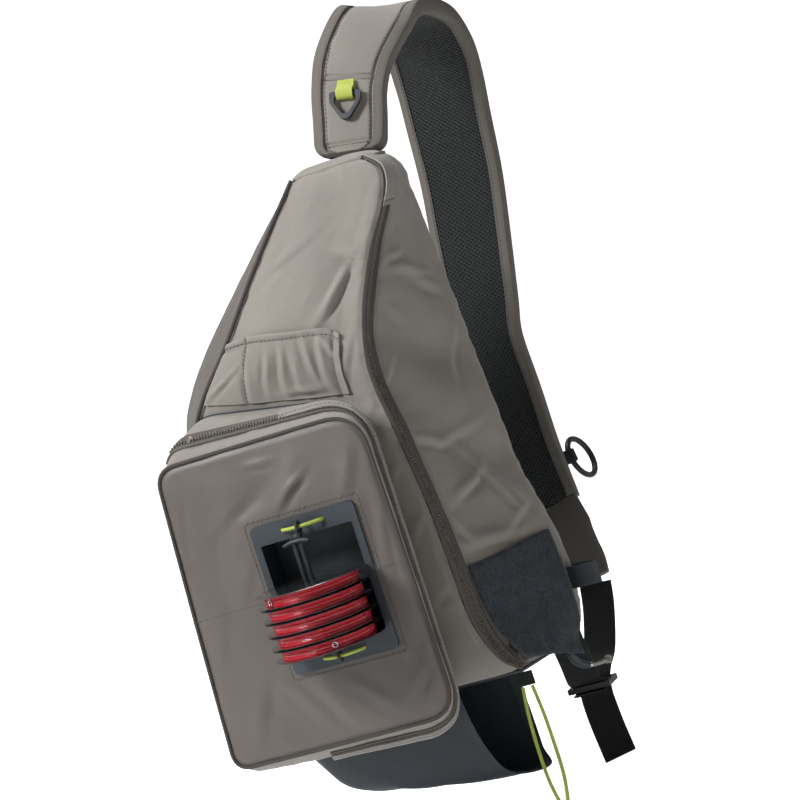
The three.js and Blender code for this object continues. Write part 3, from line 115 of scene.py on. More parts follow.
# Sections of the body: up, back left, front left, front right, back right, depth, front swell, side swell.
BODY_ROWS = [
    (0, -0.584, -0.448, 0.2, 0.264, 0.796, 0, 0.2),
    (0.035, -0.632, -0.488, 0.164, 0.304, 0.903, 0, 0.4),
    (0.119, -0.66, -0.504, 0.132, 0.32, 0.973, 0, 0.7),
    (0.211, -0.672, -0.504, 0.128, 0.312, 1, 0, 0.8),
    (0.349, -0.676, -0.5, 0.12, 0.268, 1, 0, 1),
    (0.473, -0.676, -0.488, 0.1, 0.256, 1, 0, 1),
    (0.595, -0.664, -0.464, 0.076, 0.244, 1, 0, 1),
    (0.657, -0.632, -0.412, 0.08, 0.24, 0.99, 0.6, 1),
    (0.741, -0.536, -0.308, 0.108, 0.232, 0.93, 1, 1),
    (0.835, -0.392, -0.212, 0.16, 0.22, 0.81, 1, 0.9),
    (0.914, -0.264, -0.128, 0.22, 0.208, 0.7, 0.8, 0.6),
    (0.968, -0.164, -0.068, 0.228, 0.2, 0.62, 0.6, 0.4),
    (1, -0.104, -0.036, 0.176, 0.164, 0.55, 0.5, 0.3),
]
BACK_LEFT, FRONT_LEFT, FRONT_RIGHT, BACK_RIGHT, DEPTH, FRONT_SWELL, SIDE_SWELL = range(1, 8)

# Broad folds: side, along, up, then length, width and depth as shares of the sizes that they follow,
# and lean.
BODY_FOLDS = [
    ("right", 0.55, 0.62, 0.3, 0.07, 0.7, 65),
    ("right", 0.35, 0.5, 0.22, 0.07, 0.6, 40),
    ("right", 0.6, 0.4, 0.26, 0.07, 0.6, 75),
    ("right", 0.45, 0.28, 0.24, 0.08, 0.5, 50),
    ("front", 0.86, 0.78, 0.26, 0.08, 0.7, 20),
    ("front", 0.45, 0.86, 0.24, 0.1, 0.3, -25),
    ("front", 0.5, 0.68, 0.2, 0.08, 0.35, -35),
    ("left", 0.5, 0.7, 0.3, 0.1, 0.4, 10),
]

# Finer folds that only the cloth shows: side, along, up, length mm, width mm, height mm, lean.
FINE_FOLDS = [
    ("right", 0.3, 0.81, 9, 3.5, 1.8, 12), ("right", 0.5, 0.775, 20, 3.6, 2.6, -12),
    ("right", 0.66, 0.742, 19, 3.8, 2.4, -20), ("right", 0.32, 0.705, 12, 3.5, 1.4, -30),
    ("right", 0.24, 0.465, 18, 3.6, 2.4, -16), ("right", 0.5, 0.455, 22, 4.0, 1.8, 10),
    ("right", 0.42, 0.36, 22, 4.0, 2.4, 20), ("right", 0.64, 0.355, 32, 4.4, 2.6, -57),
    ("right", 0.8, 0.31, 20, 4.0, 1.6, -50), ("right", 0.45, 0.25, 30, 4.6, 2.6, -2),
    ("right", 0.7, 0.27, 20, 4.2, 1.6, 24), ("right", 0.18, 0.3, 16, 3.6, 1.8, -50),
    ("right", 0.15, 0.6, 16, 3.2, 1.0, 50), ("right", 0.75, 0.6, 24, 5.0, 1.2, 60),
    ("front", 0.85, 0.835, 13, 3.4, 3.0, -16), ("front", 0.79, 0.783, 15, 3.4, 3.2, 74),
    ("front", 0.74, 0.755, 14, 4.0, 1.6, 60), ("front", 0.93, 0.8, 8, 3.0, 1.4, -14),
    ("front", 0.3, 0.87, 16, 4.0, 0.9, 32), ("front", 0.9, 0.66, 16, 3.4, 1.6, 78),
    ("front", 0.94, 0.55, 14, 3.2, 1.6, 60), ("front", 0.95, 0.44, 14, 3.2, 1.6, 52),
    ("front", 0.95, 0.33, 16, 3.4, 1.6, 50), ("front", 0.96, 0.2, 14, 3.2, 1.4, 40),
    ("left", 0.45, 0.55, 40, 6, 1.4, 70), ("left", 0.6, 0.75, 36, 6, 1.2, 60),
]

# Small maths


def read(rows, column, at):
    """One column of a table at places along its first, on a smooth curve through the rows."""
    rows = np.asarray(rows, float)
    x, y = rows[:, 0], rows[:, column]
    count = len(x)
    low = np.maximum(np.arange(count) - 1, 0)
    high = np.minimum(np.arange(count) + 1, count - 1)
    slope = (y[high] - y[low]) / (x[high] - x[low])
    at = np.asarray(at, float)
    i = np.searchsorted(x[1:-1], at, side="left")
    step = x[i + 1] - x[i]
    t = np.clip((at - x[i]) / step, 0, 1)
    t2, t3 = t * t, t * t * t
    start = (2 * t3 - 3 * t2 + 1) * y[i] + (t3 - 2 * t2 + t) * step * slope[i]
    return start + (3 * t2 - 2 * t3) * y[i + 1] + (t3 - t2) * step * slope[i + 1]


def unit(v):
    """Vectors at length 1."""
    return v / np.maximum(np.linalg.norm(v, axis=-1, keepdims=True), 1e-9)


def distances(path):
    """How far along a path each of its points lies."""
    return np.concatenate([[0], np.cumsum(np.linalg.norm(np.diff(path, axis=0), axis=1))])


def read_rows(places, lengths, rows):
    """Points or directions read at places along a path."""
    return np.stack([np.interp(places, lengths, rows[:, k]) for k in range(3)], 1)


def mound(x, middle, width):
    """A smooth rise to 1 at a middle."""
    return np.exp(-((x - middle) / width) ** 2)


def grid_normals(grid, ring=False):
    """The way out of a grid of points, from its neighbours."""
    if ring:
        across = np.roll(grid, -1, axis=1) - np.roll(grid, 1, axis=1)
    else:
        across = np.gradient(grid, axis=1)
    rise = np.gradient(grid, axis=0)
    return unit(np.cross(across, rise))


def ridge(right, above, length, width, lean):
    """A long soft bump at a place, leaning by some degrees from level."""
    lean = math.radians(lean)
    on = (right * math.cos(lean) + above * math.sin(lean)) / length
    off = (above * math.cos(lean) - right * math.sin(lean)) / width
    return np.exp(-on * on - off * off)


def crease(right, above, length, width, lean):
    """A fold in cloth: a crest with a sharper trough beside it."""
    lean = math.radians(lean)
    on = (right * math.cos(lean) + above * math.sin(lean)) / length
    off = (above * math.cos(lean) - right * math.sin(lean)) / width + 0.35 * np.sin(on * 1.7)
    return np.exp(-on * on) * (np.exp(-off * off) - 0.85 * np.exp(-((off + 1.5) / 0.8) ** 2))


def waves(x, y, seed, size, octaves=3):
    """Smooth seeded unevenness, from sums of sines, between about -1 and 1."""
    rng = np.random.default_rng(seed)
    total = np.zeros(np.broadcast(x, y).shape)
    weight = 0.0
    for octave in range(octaves):
        share = 0.55**octave
        for _ in range(5):
            angle, phase = rng.uniform(0, 2 * math.pi, 2)
            pitch = size * rng.uniform(0.7, 1.4) / 1.9**octave
            total += share * np.sin((x * math.cos(angle) + y * math.sin(angle)) / pitch * 6.28 + phase)
        weight += share * 2.4
    return total / weight


def path_points(points, steps, closed=False):
    """Evenly spaced points on a smooth curve through a few."""
    points = np.asarray(points, float)
    count = len(points)
    get = (lambda k: points[k % count]) if closed else (lambda k: points[min(max(k, 0), count - 1)])
    fine = []
    for i in range(count if closed else count - 1):
        a, b, c, d = get(i - 1), get(i), get(i + 1), get(i + 2)
        if not closed and i == 0:
            a = 2 * b - c
        if not closed and i == count - 2:
            d = 2 * c - b
        for t in np.linspace(0, 1, 16, endpoint=False):
            fine.append(0.5 * (2 * b + (c - a) * t + (2 * a - 5 * b + 4 * c - d) * t * t
                               + (3 * b - a - 3 * c + d) * t**3))
    fine.append(points[0] if closed else points[-1])
    fine = np.array(fine)
    length = distances(fine)
    places = np.linspace(0, length[-1], steps + 1)
    if closed:
        places = places[:-1]
    return read_rows(places, length, fine)


# Mesh making


class Builder:
    """Gathers vertices, faces, materials and a plan coordinate for one piece."""

    def __init__(self):
        self.points, self.faces, self.plan, self.marks = [], [], [], []
        self.count = 0

    def add(self, points, faces, plan=None, mark=0):
        """Points with their faces, their flat places and the number of their finish."""
        points = np.asarray(points, float).reshape(-1, 3)
        self.points.append(points)
        self.faces.extend(tuple(int(k) + self.count for k in face) for face in faces)
        self.marks.extend([mark] * len(faces))
        self.plan.append(np.zeros((len(points), 2)) if plan is None
                         else np.asarray(plan, float).reshape(-1, 2))
        self.count += len(points)

    def grid(self, grid, plan=None, ring=False, mark=0, flip=False):
        """A skin over rows of points, closed round if it is a ring."""
        rows, columns = grid.shape[:2]
        i, j = np.meshgrid(np.arange(rows - 1), np.arange(columns if ring else columns - 1), indexing="ij")
        k = (j + 1) % columns
        quads = np.stack([i * columns + j, i * columns + k, (i + 1) * columns + k, (i + 1) * columns + j], -1)
        quads = quads.reshape(-1, 4)
        self.add(grid, quads[:, ::-1] if flip else quads, plan, mark)

    def shell(self, outer, thick, plan, ring=False, mark=0, normals=None):
        """A cloth wall: the outer grid, an inner one under it and the edges between them."""
        normals = grid_normals(outer, ring) if normals is None else normals
        self.wall(outer, outer - normals * thick, plan, ring, mark)

    def wall(self, outer, inner, plan, ring=False, mark=0):
        """Two grids, one under the other, closed along their edges."""
        self.grid(outer, plan, ring, mark)
        self.grid(inner, plan, ring, mark, flip=True)
        rows, columns = outer.shape[:2]
        for row, flip in ((0, True), (rows - 1, False)):
            rim = np.stack([outer[row], inner[row]])
            self.grid(rim, np.stack([plan[row], plan[row]]), ring, mark, flip)
        if not ring:
            for column, flip in ((0, False), (columns - 1, True)):
                rim = np.stack([outer[:, column], inner[:, column]])
                self.grid(rim, np.stack([plan[:, column], plan[:, column]]), False, mark, flip)

    def tube(self, path, radius, sides=8, closed=False, mark=0, squash=1.0, up=None):
        """A round or flattened tube along a path; the radius may change along it."""
        path = np.asarray(path, float)
        count = len(path)
        radius = np.broadcast_to(np.asarray(radius, float), (count,))
        if closed:
            way = unit(np.roll(path, -1, axis=0) - np.roll(path, 1, axis=0))
        else:
            way = unit(np.gradient(path, axis=0))
        side = np.zeros_like(path)
        if up is None:
            start = UP_WAY if abs(way[0][2]) < 0.9 else np.array([1.0, 0, 0])
            for i in range(count):
                start = start - way[i] * start.dot(way[i])
                start = start / np.linalg.norm(start)
                side[i] = start
        else:
            up = np.broadcast_to(np.asarray(up, float), path.shape)
            side = unit(up - way * (up * way).sum(-1, keepdims=True))
        other = np.cross(way, side)
        angle = np.linspace(0, 2 * math.pi, sides, endpoint=False)
        reach = (np.cos(angle)[None, :, None] * side[:, None] * squash
                 + np.sin(angle)[None, :, None] * other[:, None])
        grid = path[:, None] + reach * radius[:, None, None]
        along = distances(path)
        plan = np.stack(np.broadcast_arrays(along[:, None], angle[None, :] * radius[:, None]), -1)
        if closed:
            grid = np.concatenate([grid, grid[:1]])
            plan = np.concatenate([plan, plan[:1]])
        self.grid(grid, plan, True, mark)
        if not closed:
            for end, flip in ((0, False), (count - 1, True)):
                order = list(range(sides))
                self.add(grid[end], [order if flip else order[::-1]], plan[end], mark)

    def finish(self, name, materials, body="bag", replaced=(), slot=None, smooth=True, merge=0.02):
        """Makes the piece, and says which body it rides, which nodes it replaces and its slot."""
        mesh = bpy.data.meshes.new(name)
        points = (np.concatenate(self.points) + SHIFT) / 1000
        mesh.from_pydata([tuple(p) for p in points], [], self.faces)
        plan = np.concatenate(self.plan) / 1000
        layer = mesh.uv_layers.new(name="plan")
        corners = np.zeros(len(mesh.loops), int)
        mesh.loops.foreach_get("vertex_index", corners)
        layer.data.foreach_set("uv", plan[corners].ravel())
        for material in materials:
            mesh.materials.append(material)
        mesh.polygons.foreach_set("material_index", np.array(self.marks, int))
        mesh.polygons.foreach_set("use_smooth", np.full(len(mesh.polygons), smooth))
        thing = bpy.data.objects.new(name, mesh)
        bpy.context.scene.collection.objects.link(thing)
        if merge:
            bm = bmesh.new()
            bm.from_mesh(mesh)
            bmesh.ops.remove_doubles(bm, verts=bm.verts, dist=merge / 1000)
            bmesh.ops.recalc_face_normals(bm, faces=bm.faces)
            bm.to_mesh(mesh)
            bm.free()
        if smooth:
            mesh.set_sharp_from_angle(angle=math.radians(50))
        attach(thing, body)
        if replaced:
            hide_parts(*replaced)
        return thing


def plan_of(grid):
    """A flat plan of a grid in mm, from the lengths along its rows and columns."""
    across = np.linalg.norm(np.diff(grid, axis=1), axis=2).mean(0)
    rise = np.linalg.norm(np.diff(grid, axis=0), axis=2).mean(1)
    u = np.concatenate([[0], np.cumsum(across)])
    v = np.concatenate([[0], np.cumsum(rise)])
    return np.stack(np.broadcast_arrays(u[None, :], v[:, None]), -1).astype(float)


def add_stitches(builder, path, out, pitch=3.4, length=2.3, thick=0.75, mark=0, lift=0.15, slant=0.0):
    """A row of thread stitches along a path, each a small rounded bead lying on the cloth."""
    path = np.asarray(path, float)
    out = np.broadcast_to(np.asarray(out, float), path.shape)
    lengths = distances(path)
    places = np.arange(pitch / 2, lengths[-1], pitch)
    if not len(places):
        return
    at = read_rows(places, lengths, path)
    ahead = read_rows(places + 0.5, lengths, path)
    behind = read_rows(places - 0.5, lengths, path)
    way = unit(ahead - behind)
    up = unit(read_rows(places, lengths, out))
    side = unit(np.cross(up, way))
    if slant:
        turn = np.where(np.arange(len(places)) % 2 == 0, slant, -slant)[:, None]
        way, side = unit(way + side * turn), unit(side - way * turn)
    angle = np.linspace(0, math.pi, 4)
    rings = []
    for place, scale in ((-0.5, 0.35), (-0.3, 1.0), (0.3, 1.0), (0.5, 0.35)):
        ring = at[:, None] + way[:, None] * place * length
        ring = ring + side[:, None] * np.cos(angle)[None, :, None] * thick / 2 * scale
        ring = ring + up[:, None] * (np.sin(angle)[None, :, None] * thick / 2 * scale + lift)
        rings.append(ring)
    points = np.stack(rings, 1)
    bead = [(4 * i + j, 4 * i + j + 1, 4 * i + j + 5, 4 * i + j + 4) for i in range(3) for j in range(3)]
    bead += [(0, 1, 2, 3), (15, 14, 13, 12), (0, 4, 7, 3), (4, 8, 11, 7), (8, 12, 15, 11)]
    faces = [tuple(k + 16 * n for k in face) for n in range(len(places)) for face in bead]
    builder.add(points, faces, None, mark)


# Materials


def new_group(name, inputs, outputs):
    """A shader node group with its sockets, and the nodes where it starts and ends."""
    group = bpy.data.node_groups.new(name, "ShaderNodeTree")
    for label, value in inputs:
        kind = "NodeSocketColor" if isinstance(value, tuple) else "NodeSocketFloat"
        group.interface.new_socket(label, in_out="INPUT", socket_type=kind).default_value = value
    for label, kind in outputs:
        group.interface.new_socket(label, in_out="OUTPUT", socket_type=kind)
    return group, group.nodes.new("NodeGroupInput"), group.nodes.new("NodeGroupOutput")


def node(tree, kind, links=None, **values):
    """A shader node, with its sockets linked or set and its settings given."""
    made = tree.nodes.new(kind)
    for key, value in values.items():
        setattr(made, key, value)
    for socket, source in (links or {}).items():
        if isinstance(source, bpy.types.NodeSocket):
            tree.links.new(source, made.inputs[socket])
        else:
            made.inputs[socket].default_value = source
    return made


def math_node(tree, operation, a, b=None, clamp=False):
    """The outcome of one sum on sockets or numbers."""
    links = {0: a} if b is None else {0: a, 1: b}
    return node(tree, "ShaderNodeMath", links, operation=operation, use_clamp=clamp).outputs[0]


def weave_group():
    """A woven cloth: threads over and under, as a height and as a mask of the gaps."""
    group, enter, leave = new_group("cloth_weave", [("Thread", 0.7)],
                                    [("Height", "NodeSocketFloat"), ("Gaps", "NodeSocketFloat")])
    place = node(group, "ShaderNodeUVMap", uv_map="plan")
    scale = math_node(group, "DIVIDE", 3141.6, enter.outputs["Thread"])
    split = node(group, "ShaderNodeSeparateXYZ", {0: place.outputs[0]})
    shake = node(group, "ShaderNodeTexNoise", {"Vector": place.outputs[0], "Scale": 260.0, "Detail": 2.0})
    push = math_node(group, "MULTIPLY", shake.outputs["Fac"], 1.6)
    waves_made = []
    for axis in (0, 1):
        turn = math_node(group, "ADD", math_node(group, "MULTIPLY", split.outputs[axis], scale), push)
        waves_made.append(math_node(group, "SINE", turn))
    cross = math_node(group, "MULTIPLY", waves_made[0], waves_made[1])
    height = math_node(group, "MULTIPLY_ADD", cross, 0.5)
    group.links.new(height, leave.inputs["Height"])
    gaps = math_node(group, "ABSOLUTE", cross)
    group.links.new(gaps, leave.inputs["Gaps"])
    return group


def blotch_group():
    """Uneven dye and dust: a slow mask, and a fine speckle of threads of differing colour."""
    group, enter, leave = new_group("uneven_dye", [("Size", 26.0), ("Speckle", 900.0)],
                                    [("Slow", "NodeSocketFloat"), ("Fine", "NodeSocketFloat")])
    place = node(group, "ShaderNodeTexCoord").outputs["Object"]
    slow = node(group, "ShaderNodeTexNoise", {"Vector": place, "Scale": enter.outputs["Size"], "Detail": 4.0})
    fine = node(group, "ShaderNodeTexNoise",
                {"Vector": place, "Scale": enter.outputs["Speckle"], "Detail": 1.0})
    group.links.new(slow.outputs["Fac"], leave.inputs["Slow"])
    group.links.new(fine.outputs["Fac"], leave.inputs["Fine"])
    return group


def wear_group():
    """Rubbed edges: a mask that is strong where the surface turns sharply outwards."""
    group, enter, leave = new_group("rubbed_edges", [("Reach", 0.06)], [("Mask", "NodeSocketFloat")])
    point = node(group, "ShaderNodeNewGeometry").outputs["Pointiness"]
    over = math_node(group, "SUBTRACT", point, 0.5)
    mask = math_node(group, "DIVIDE", over, enter.outputs["Reach"], clamp=True)
    group.links.new(mask, leave.inputs["Mask"])
    return group


GROUPS = {}


def placed_group(tree, name, **values):
    """One of the shared node groups, placed in a material."""
    made = tree.nodes.new("ShaderNodeGroup")
    made.node_tree = GROUPS[name]
    for key, value in values.items():
        made.inputs[key].default_value = value
    return made


def mix_colour(tree, share, a, b):
    """A mix of two colours by a share."""
    made = node(tree, "ShaderNodeMix", data_type="RGBA")
    for socket, source in ((0, share), (6, a), (7, b)):
        if isinstance(source, bpy.types.NodeSocket):
            tree.links.new(source, made.inputs[socket])
        else:
            made.inputs[socket].default_value = source
    return made.outputs[2]


def ramp(tree, value, low, high):
    """A value taken from between two limits to between 0 and 1."""
    made = node(tree, "ShaderNodeMapRange", {0: value, 1: low, 2: high})
    made.clamp = True
    return made.outputs[0]


def finish_material(name, colour, thread=0.7, weave=0.25, rough=0.8, rough_spread=0.1, dark=0.75, light=1.18,
                    sheen=0.0, sheen_rough=0.5, specular=0.4, metallic=0.0, wear=0.25, coat=0.0, bump=0.5,
                    size=26.0, grain=0.0, speckle=900.0, fuzz=0.0):
    """One finish: its dye with slow and fine unevenness, its weave, its rubbed edges and its relief."""
    material = bpy.data.materials.new(name)
    material.use_nodes = True
    tree = material.node_tree
    shader = tree.nodes["Principled BSDF"]
    base = (*colour, 1.0)
    lower = tuple(c * dark for c in colour) + (1.0,)
    upper = tuple(min(c * light, 1.0) for c in colour) + (1.0,)
    blotch = placed_group(tree, "uneven_dye", Size=size, Speckle=speckle)
    slow = ramp(tree, blotch.outputs["Slow"], 0.3, 0.7)
    shade = mix_colour(tree, slow, lower, upper)
    shade = mix_colour(tree, 0.55, shade, base)
    fine = ramp(tree, blotch.outputs["Fine"], 0.35, 0.65)
    shade = mix_colour(tree, math_node(tree, "MULTIPLY", fine, 0.4 + fuzz), shade, upper)
    rubbed = placed_group(tree, "rubbed_edges", Reach=0.09)
    worn = math_node(tree, "MULTIPLY", rubbed.outputs["Mask"], wear)
    worn_colour = tuple(min(c * 1.5 + 0.02, 1.0) for c in colour) + (1.0,)
    shade = mix_colour(tree, worn, shade, worn_colour)
    height = None
    if weave:
        cloth = placed_group(tree, "cloth_weave", Thread=thread)
        gaps = math_node(tree, "MULTIPLY", cloth.outputs["Gaps"], weave)
        shade = mix_colour(tree, gaps, shade, tuple(c * 0.55 for c in colour) + (1.0,))
        height = math_node(tree, "MULTIPLY", cloth.outputs["Height"], 0.5)
    rise = math_node(tree, "MULTIPLY", blotch.outputs["Fine"], 0.35 + grain + fuzz)
    height = rise if height is None else math_node(tree, "ADD", height, rise)
    relief = node(tree, "ShaderNodeBump", {"Height": height, "Strength": bump, "Distance": 0.0003})
    tree.links.new(relief.outputs[0], shader.inputs["Normal"])
    tree.links.new(shade, shader.inputs["Base Color"])
    uneven = node(tree, "ShaderNodeMapRange",
                  {0: blotch.outputs["Slow"], 1: 0.3, 2: 0.7, 3: rough - rough_spread,
                                               4: min(rough + rough_spread, 1.0)})
    tree.links.new(uneven.outputs[0], shader.inputs["Roughness"])
    shader.inputs["Metallic"].default_value = metallic
    shader.inputs["Specular IOR Level"].default_value = specular
    shader.inputs["Sheen Weight"].default_value = sheen
    shader.inputs["Sheen Roughness"].default_value = sheen_rough
    shader.inputs["Coat Weight"].default_value = coat
    shader.inputs["Coat Roughness"].default_value = 0.15
    return material


def mesh_material(name, colour):
    """Air mesh: dark round holes in staggered rows through a knitted face."""
    material = finish_material(name, colour, weave=0.0, rough=0.85, sheen=0.15, wear=0.1, bump=0.6)
    tree = material.node_tree
    shader = tree.nodes["Principled BSDF"]
    place = node(tree, "ShaderNodeUVMap", uv_map="plan")
    split = node(tree, "ShaderNodeSeparateXYZ", {0: place.outputs[0]})
    pitch = 2 * math.pi / 0.0042
    across = math_node(tree, "COSINE", math_node(tree, "MULTIPLY", split.outputs[0], pitch))
    rise = math_node(tree, "COSINE", math_node(tree, "MULTIPLY", split.outputs[1], pitch * 1.25))
    knit = math_node(tree, "ADD", across, rise)
    hole = ramp(tree, math_node(tree, "ABSOLUTE", knit), 0.5, 1.5)
    face = shader.inputs["Base Color"].links[0].from_socket
    shade = mix_colour(tree, hole, face, tuple(c * 0.12 for c in colour) + (1.0,))
    tree.links.new(shade, shader.inputs["Base Color"])
    relief = node(tree, "ShaderNodeBump", {"Height": hole, "Strength": 0.9, "Distance": 0.0012}, invert=True)
    tree.links.new(shader.inputs["Normal"].links[0].from_socket, relief.inputs["Normal"])
    tree.links.new(relief.outputs[0], shader.inputs["Normal"])
    return material


FINISHES = {}


def dress(name, finish, soften):
    """Give a CAD node its finish through its own material slots, and round its edges."""
    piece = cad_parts[name]
    if not piece.material_slots:
        raise RuntimeError(f"{name} has no material slot")
    for place in piece.material_slots:
        place.link = "OBJECT"
        place.material = FINISHES[finish]
    if soften:
        edges = piece.modifiers.new("soft_edges", "BEVEL")
        edges.width = soften
        edges.segments = 3


def make_finishes(colours):
    """Every finish of the bag, from the colours that the panel offers."""
    GROUPS.update(cloth_weave=weave_group(), uneven_dye=blotch_group(), rubbed_edges=wear_group())
    light, dark, face = tuple(colours.light), tuple(colours.dark), tuple(colours.face)
    slate, lime, line = tuple(colours.slate), tuple(colours.lime), tuple(colours.line)
    make = finish_material
    FINISHES.update(
        light=make("light_nylon", light, thread=0.8, weave=0.2, rough=0.74, sheen=0.25, size=20.0),
        seam=make("seam_thread", tuple(c * 0.45 for c in light), weave=0.0, rough=0.8, wear=0.0, size=60.0),
        binding=make("strap_binding_tape", tuple(c * 0.62 for c in light), thread=1.3, weave=0.35, rough=0.8,
                     size=40.0),
        dark=make("dark_nylon", dark, thread=0.8, weave=0.2, rough=0.62, sheen=0.15, size=18.0),
        tape=make("zip_tape", tuple(c * 0.85 for c in dark), thread=1.1, weave=0.35, rough=0.75, size=40.0),
        teeth=make("zip_teeth", tuple(min(c * 1.25, 1) for c in dark), weave=0.0, rough=0.45, wear=0.4,
                   size=60.0),
        face=make("coated_face", face, thread=0.6, weave=0.12, rough=0.46, rough_spread=0.08, sheen=0.1,
                  size=14.0, specular=0.5, bump=0.35),
        slate=make("slate_cloth", slate, thread=0.6, weave=0.1, rough=0.5, rough_spread=0.08, size=14.0,
                   bump=0.3),
        moulded=make("moulded_slate", tuple(c * 0.9 for c in slate), weave=0.0, rough=0.48, size=20.0,
                     grain=0.5, speckle=1500.0, wear=0.5, bump=0.25),
        fleece=make("short_fleece", tuple(c * 0.85 for c in slate), weave=0.0, rough=1.0, rough_spread=0.0,
                    sheen=0.12,
                    sheen_rough=0.6, size=120.0, speckle=620.0, fuzz=0.5, bump=1.0, dark=0.5, light=1.7,
                    wear=0.0),
        mesh=mesh_material("air_mesh", (0.02, 0.026, 0.026)),
        black=make("black_webbing", (0.012, 0.013, 0.014), thread=1.6, weave=0.3, rough=0.7, size=30.0,
                   bump=0.8),
        plastic=make("black_plastic", (0.016, 0.018, 0.02), weave=0.0, rough=0.38, grain=0.2, wear=0.5,
                     bump=0.15),
        metal=make("gunmetal", (0.045, 0.048, 0.052), weave=0.0, rough=0.34, metallic=0.7, wear=0.6, bump=0.1,
                   size=50.0),
        piping=make("piping_cloth", tuple(c * 0.5 for c in dark), thread=0.9, weave=0.3, rough=0.8,
                    size=40.0),
        silver=make("silver_eyelet", (0.6, 0.6, 0.6), weave=0.0, rough=0.25, metallic=1.0, wear=0.2,
                    bump=0.05),
        lime=make("lime_cord", lime, thread=1.2, weave=0.3, rough=0.65, size=60.0, bump=0.7, light=1.3),
        line=make("red_line", line, weave=0.0, rough=0.32, coat=0.5, wear=0.1, size=50.0, bump=0.15,
                  specular=0.6),
        rim=make("smoke_rim", (0.03, 0.031, 0.032), weave=0.0, rough=0.12, rough_spread=0.04, coat=1.0,
                 wear=0.3, bump=0.03, specular=0.9),
        cord=make("mottled_cord", (0.34, 0.32, 0.29), thread=1.4, weave=0.5, rough=0.7, size=160.0, dark=0.45,
                  light=1.6, bump=0.9),
    )


# The body's surface

SIDE_ENDS = {"front": (FRONT_LEFT, FRONT_RIGHT), "right": (FRONT_RIGHT, BACK_RIGHT),
             "back": (BACK_RIGHT, BACK_LEFT), "left": (BACK_LEFT, FRONT_LEFT)}


def body_corner(column, up):
    """Where one of the body's four upright edges lies."""
    x = read(BODY_ROWS, column, up) * BODY_WIDTH
    front = column in (FRONT_LEFT, FRONT_RIGHT)
    y = -read(BODY_ROWS, DEPTH, up) * BODY_DEPTH if front else np.zeros_like(x)
    return x, y


def side_length(side, up):
    """How wide a side of the body is at a height."""
    start, end = SIDE_ENDS[side]
    (ax, ay), (bx, by) = body_corner(start, up), body_corner(end, up)
    return np.hypot(bx - ax, by - ay)


def zip_share(up):
    """The share of the right side that the zip's tape takes."""
    return ZIP_TAPE / side_length("right", up)


def body_point(side, along, up, fine=True):
    """Points of the body's outer surface on one side, with its folds and, if fine, the finer creases."""
    along, up = np.broadcast_arrays(np.asarray(along, float), np.asarray(up, float))
    start, end = SIDE_ENDS[side]
    (ax, ay), (bx, by) = body_corner(start, up), body_corner(end, up)
    length = np.hypot(bx - ax, by - ay)
    out_x, out_y = (by - ay) / length, -(bx - ax) / length
    column = {"front": FRONT_SWELL, "back": None}.get(side, SIDE_SWELL)
    swell = 0 * up
    if column is not None:
        swell = read(BODY_ROWS, column, up) * BODY_SWELL * (0.6 if side == "right" else 1)
    swell = swell * 4 * along * (1 - along)
    soft_edge = np.minimum(1, 8 * along * (1 - along))
    for place, a, u, long, wide, deep, lean in BODY_FOLDS:
        if place == side:
            right, above = (along - a) * length, (up - u) * BODY_HEIGHT
            lean_angle = math.radians(lean)
            off = (right * math.cos(lean_angle) + above * math.sin(lean_angle)) / (wide * BODY_WIDTH)
            on = (above * math.cos(lean_angle) - right * math.sin(lean_angle)) / (long * BODY_WIDTH)
            swell = swell - deep * BODY_SWELL * np.exp(-off * off - on * on) * soft_edge
    if fine:
        for place, a, u, long, wide, high, lean in FINE_FOLDS:
            if place == side:
                wrinkle = crease((along - a) * length, (up - u) * BODY_HEIGHT, long, wide, lean)
                swell = swell + high * wrinkle * soft_edge
    return np.stack([ax + (bx - ax) * along + out_x * swell, ay + (by - ay) * along + out_y * swell,
                     up * BODY_HEIGHT], -1)


def plain_grid(side, along, up):
    """A grid on the body without its fine creases, with the way out of it and its plan."""
    base = body_point(side, along, up, fine=False)
    return base, grid_normals(base), plan_of(base)


def seam_dip(distance, depth=1.4, width=2.6):
    """How far cloth turns down beside a seam, at a distance from it."""
    return -depth * np.exp(-((np.maximum(distance, 0) / width) ** 2))


def panel(side, start, end, up_low=0.0, up_high=1.0, columns=70, rows=150, puff=0.8, seed=1, off=0.0,
          creases=0.35):
    """A dense grid of one panel of the body, with seam dips and the cloth's own unevenness."""
    up = np.linspace(up_low, up_high, rows)[:, None]
    share = np.linspace(0, 1, columns)[None, :]
    low = np.broadcast_to(start(up) if callable(start) else start, up.shape)
    high = np.broadcast_to(end(up) if callable(end) else end, up.shape)
    along = low + (high - low) * share
    grid = body_point(side, along, up + 0 * share)
    plan = plan_of(grid)
    normal = grid_normals(grid)
    width = plan[:, -1, 0][:, None]
    height = plan[-1, 0, 1]
    u, v = share * width, plan[:, :1, 1] + 0 * share
    edge = np.minimum(u, width - u)
    ends = np.minimum(v, height - v)
    lift = seam_dip(edge) + seam_dip(ends) + puff * (1 - np.exp(-edge / 9))
    rub = np.exp(-edge / 14)
    lift = lift + creases * waves(u, v, seed, 46) * (1 - 0.4 * rub)
    lift = lift + 0.55 * rub * waves(u * 0.3, v, seed + 9, 15, 2)
    return grid + normal * (lift + off)[..., None], plan


BACK_CHANNEL = 34.0
BACK_BAND_PITCH = 92.0


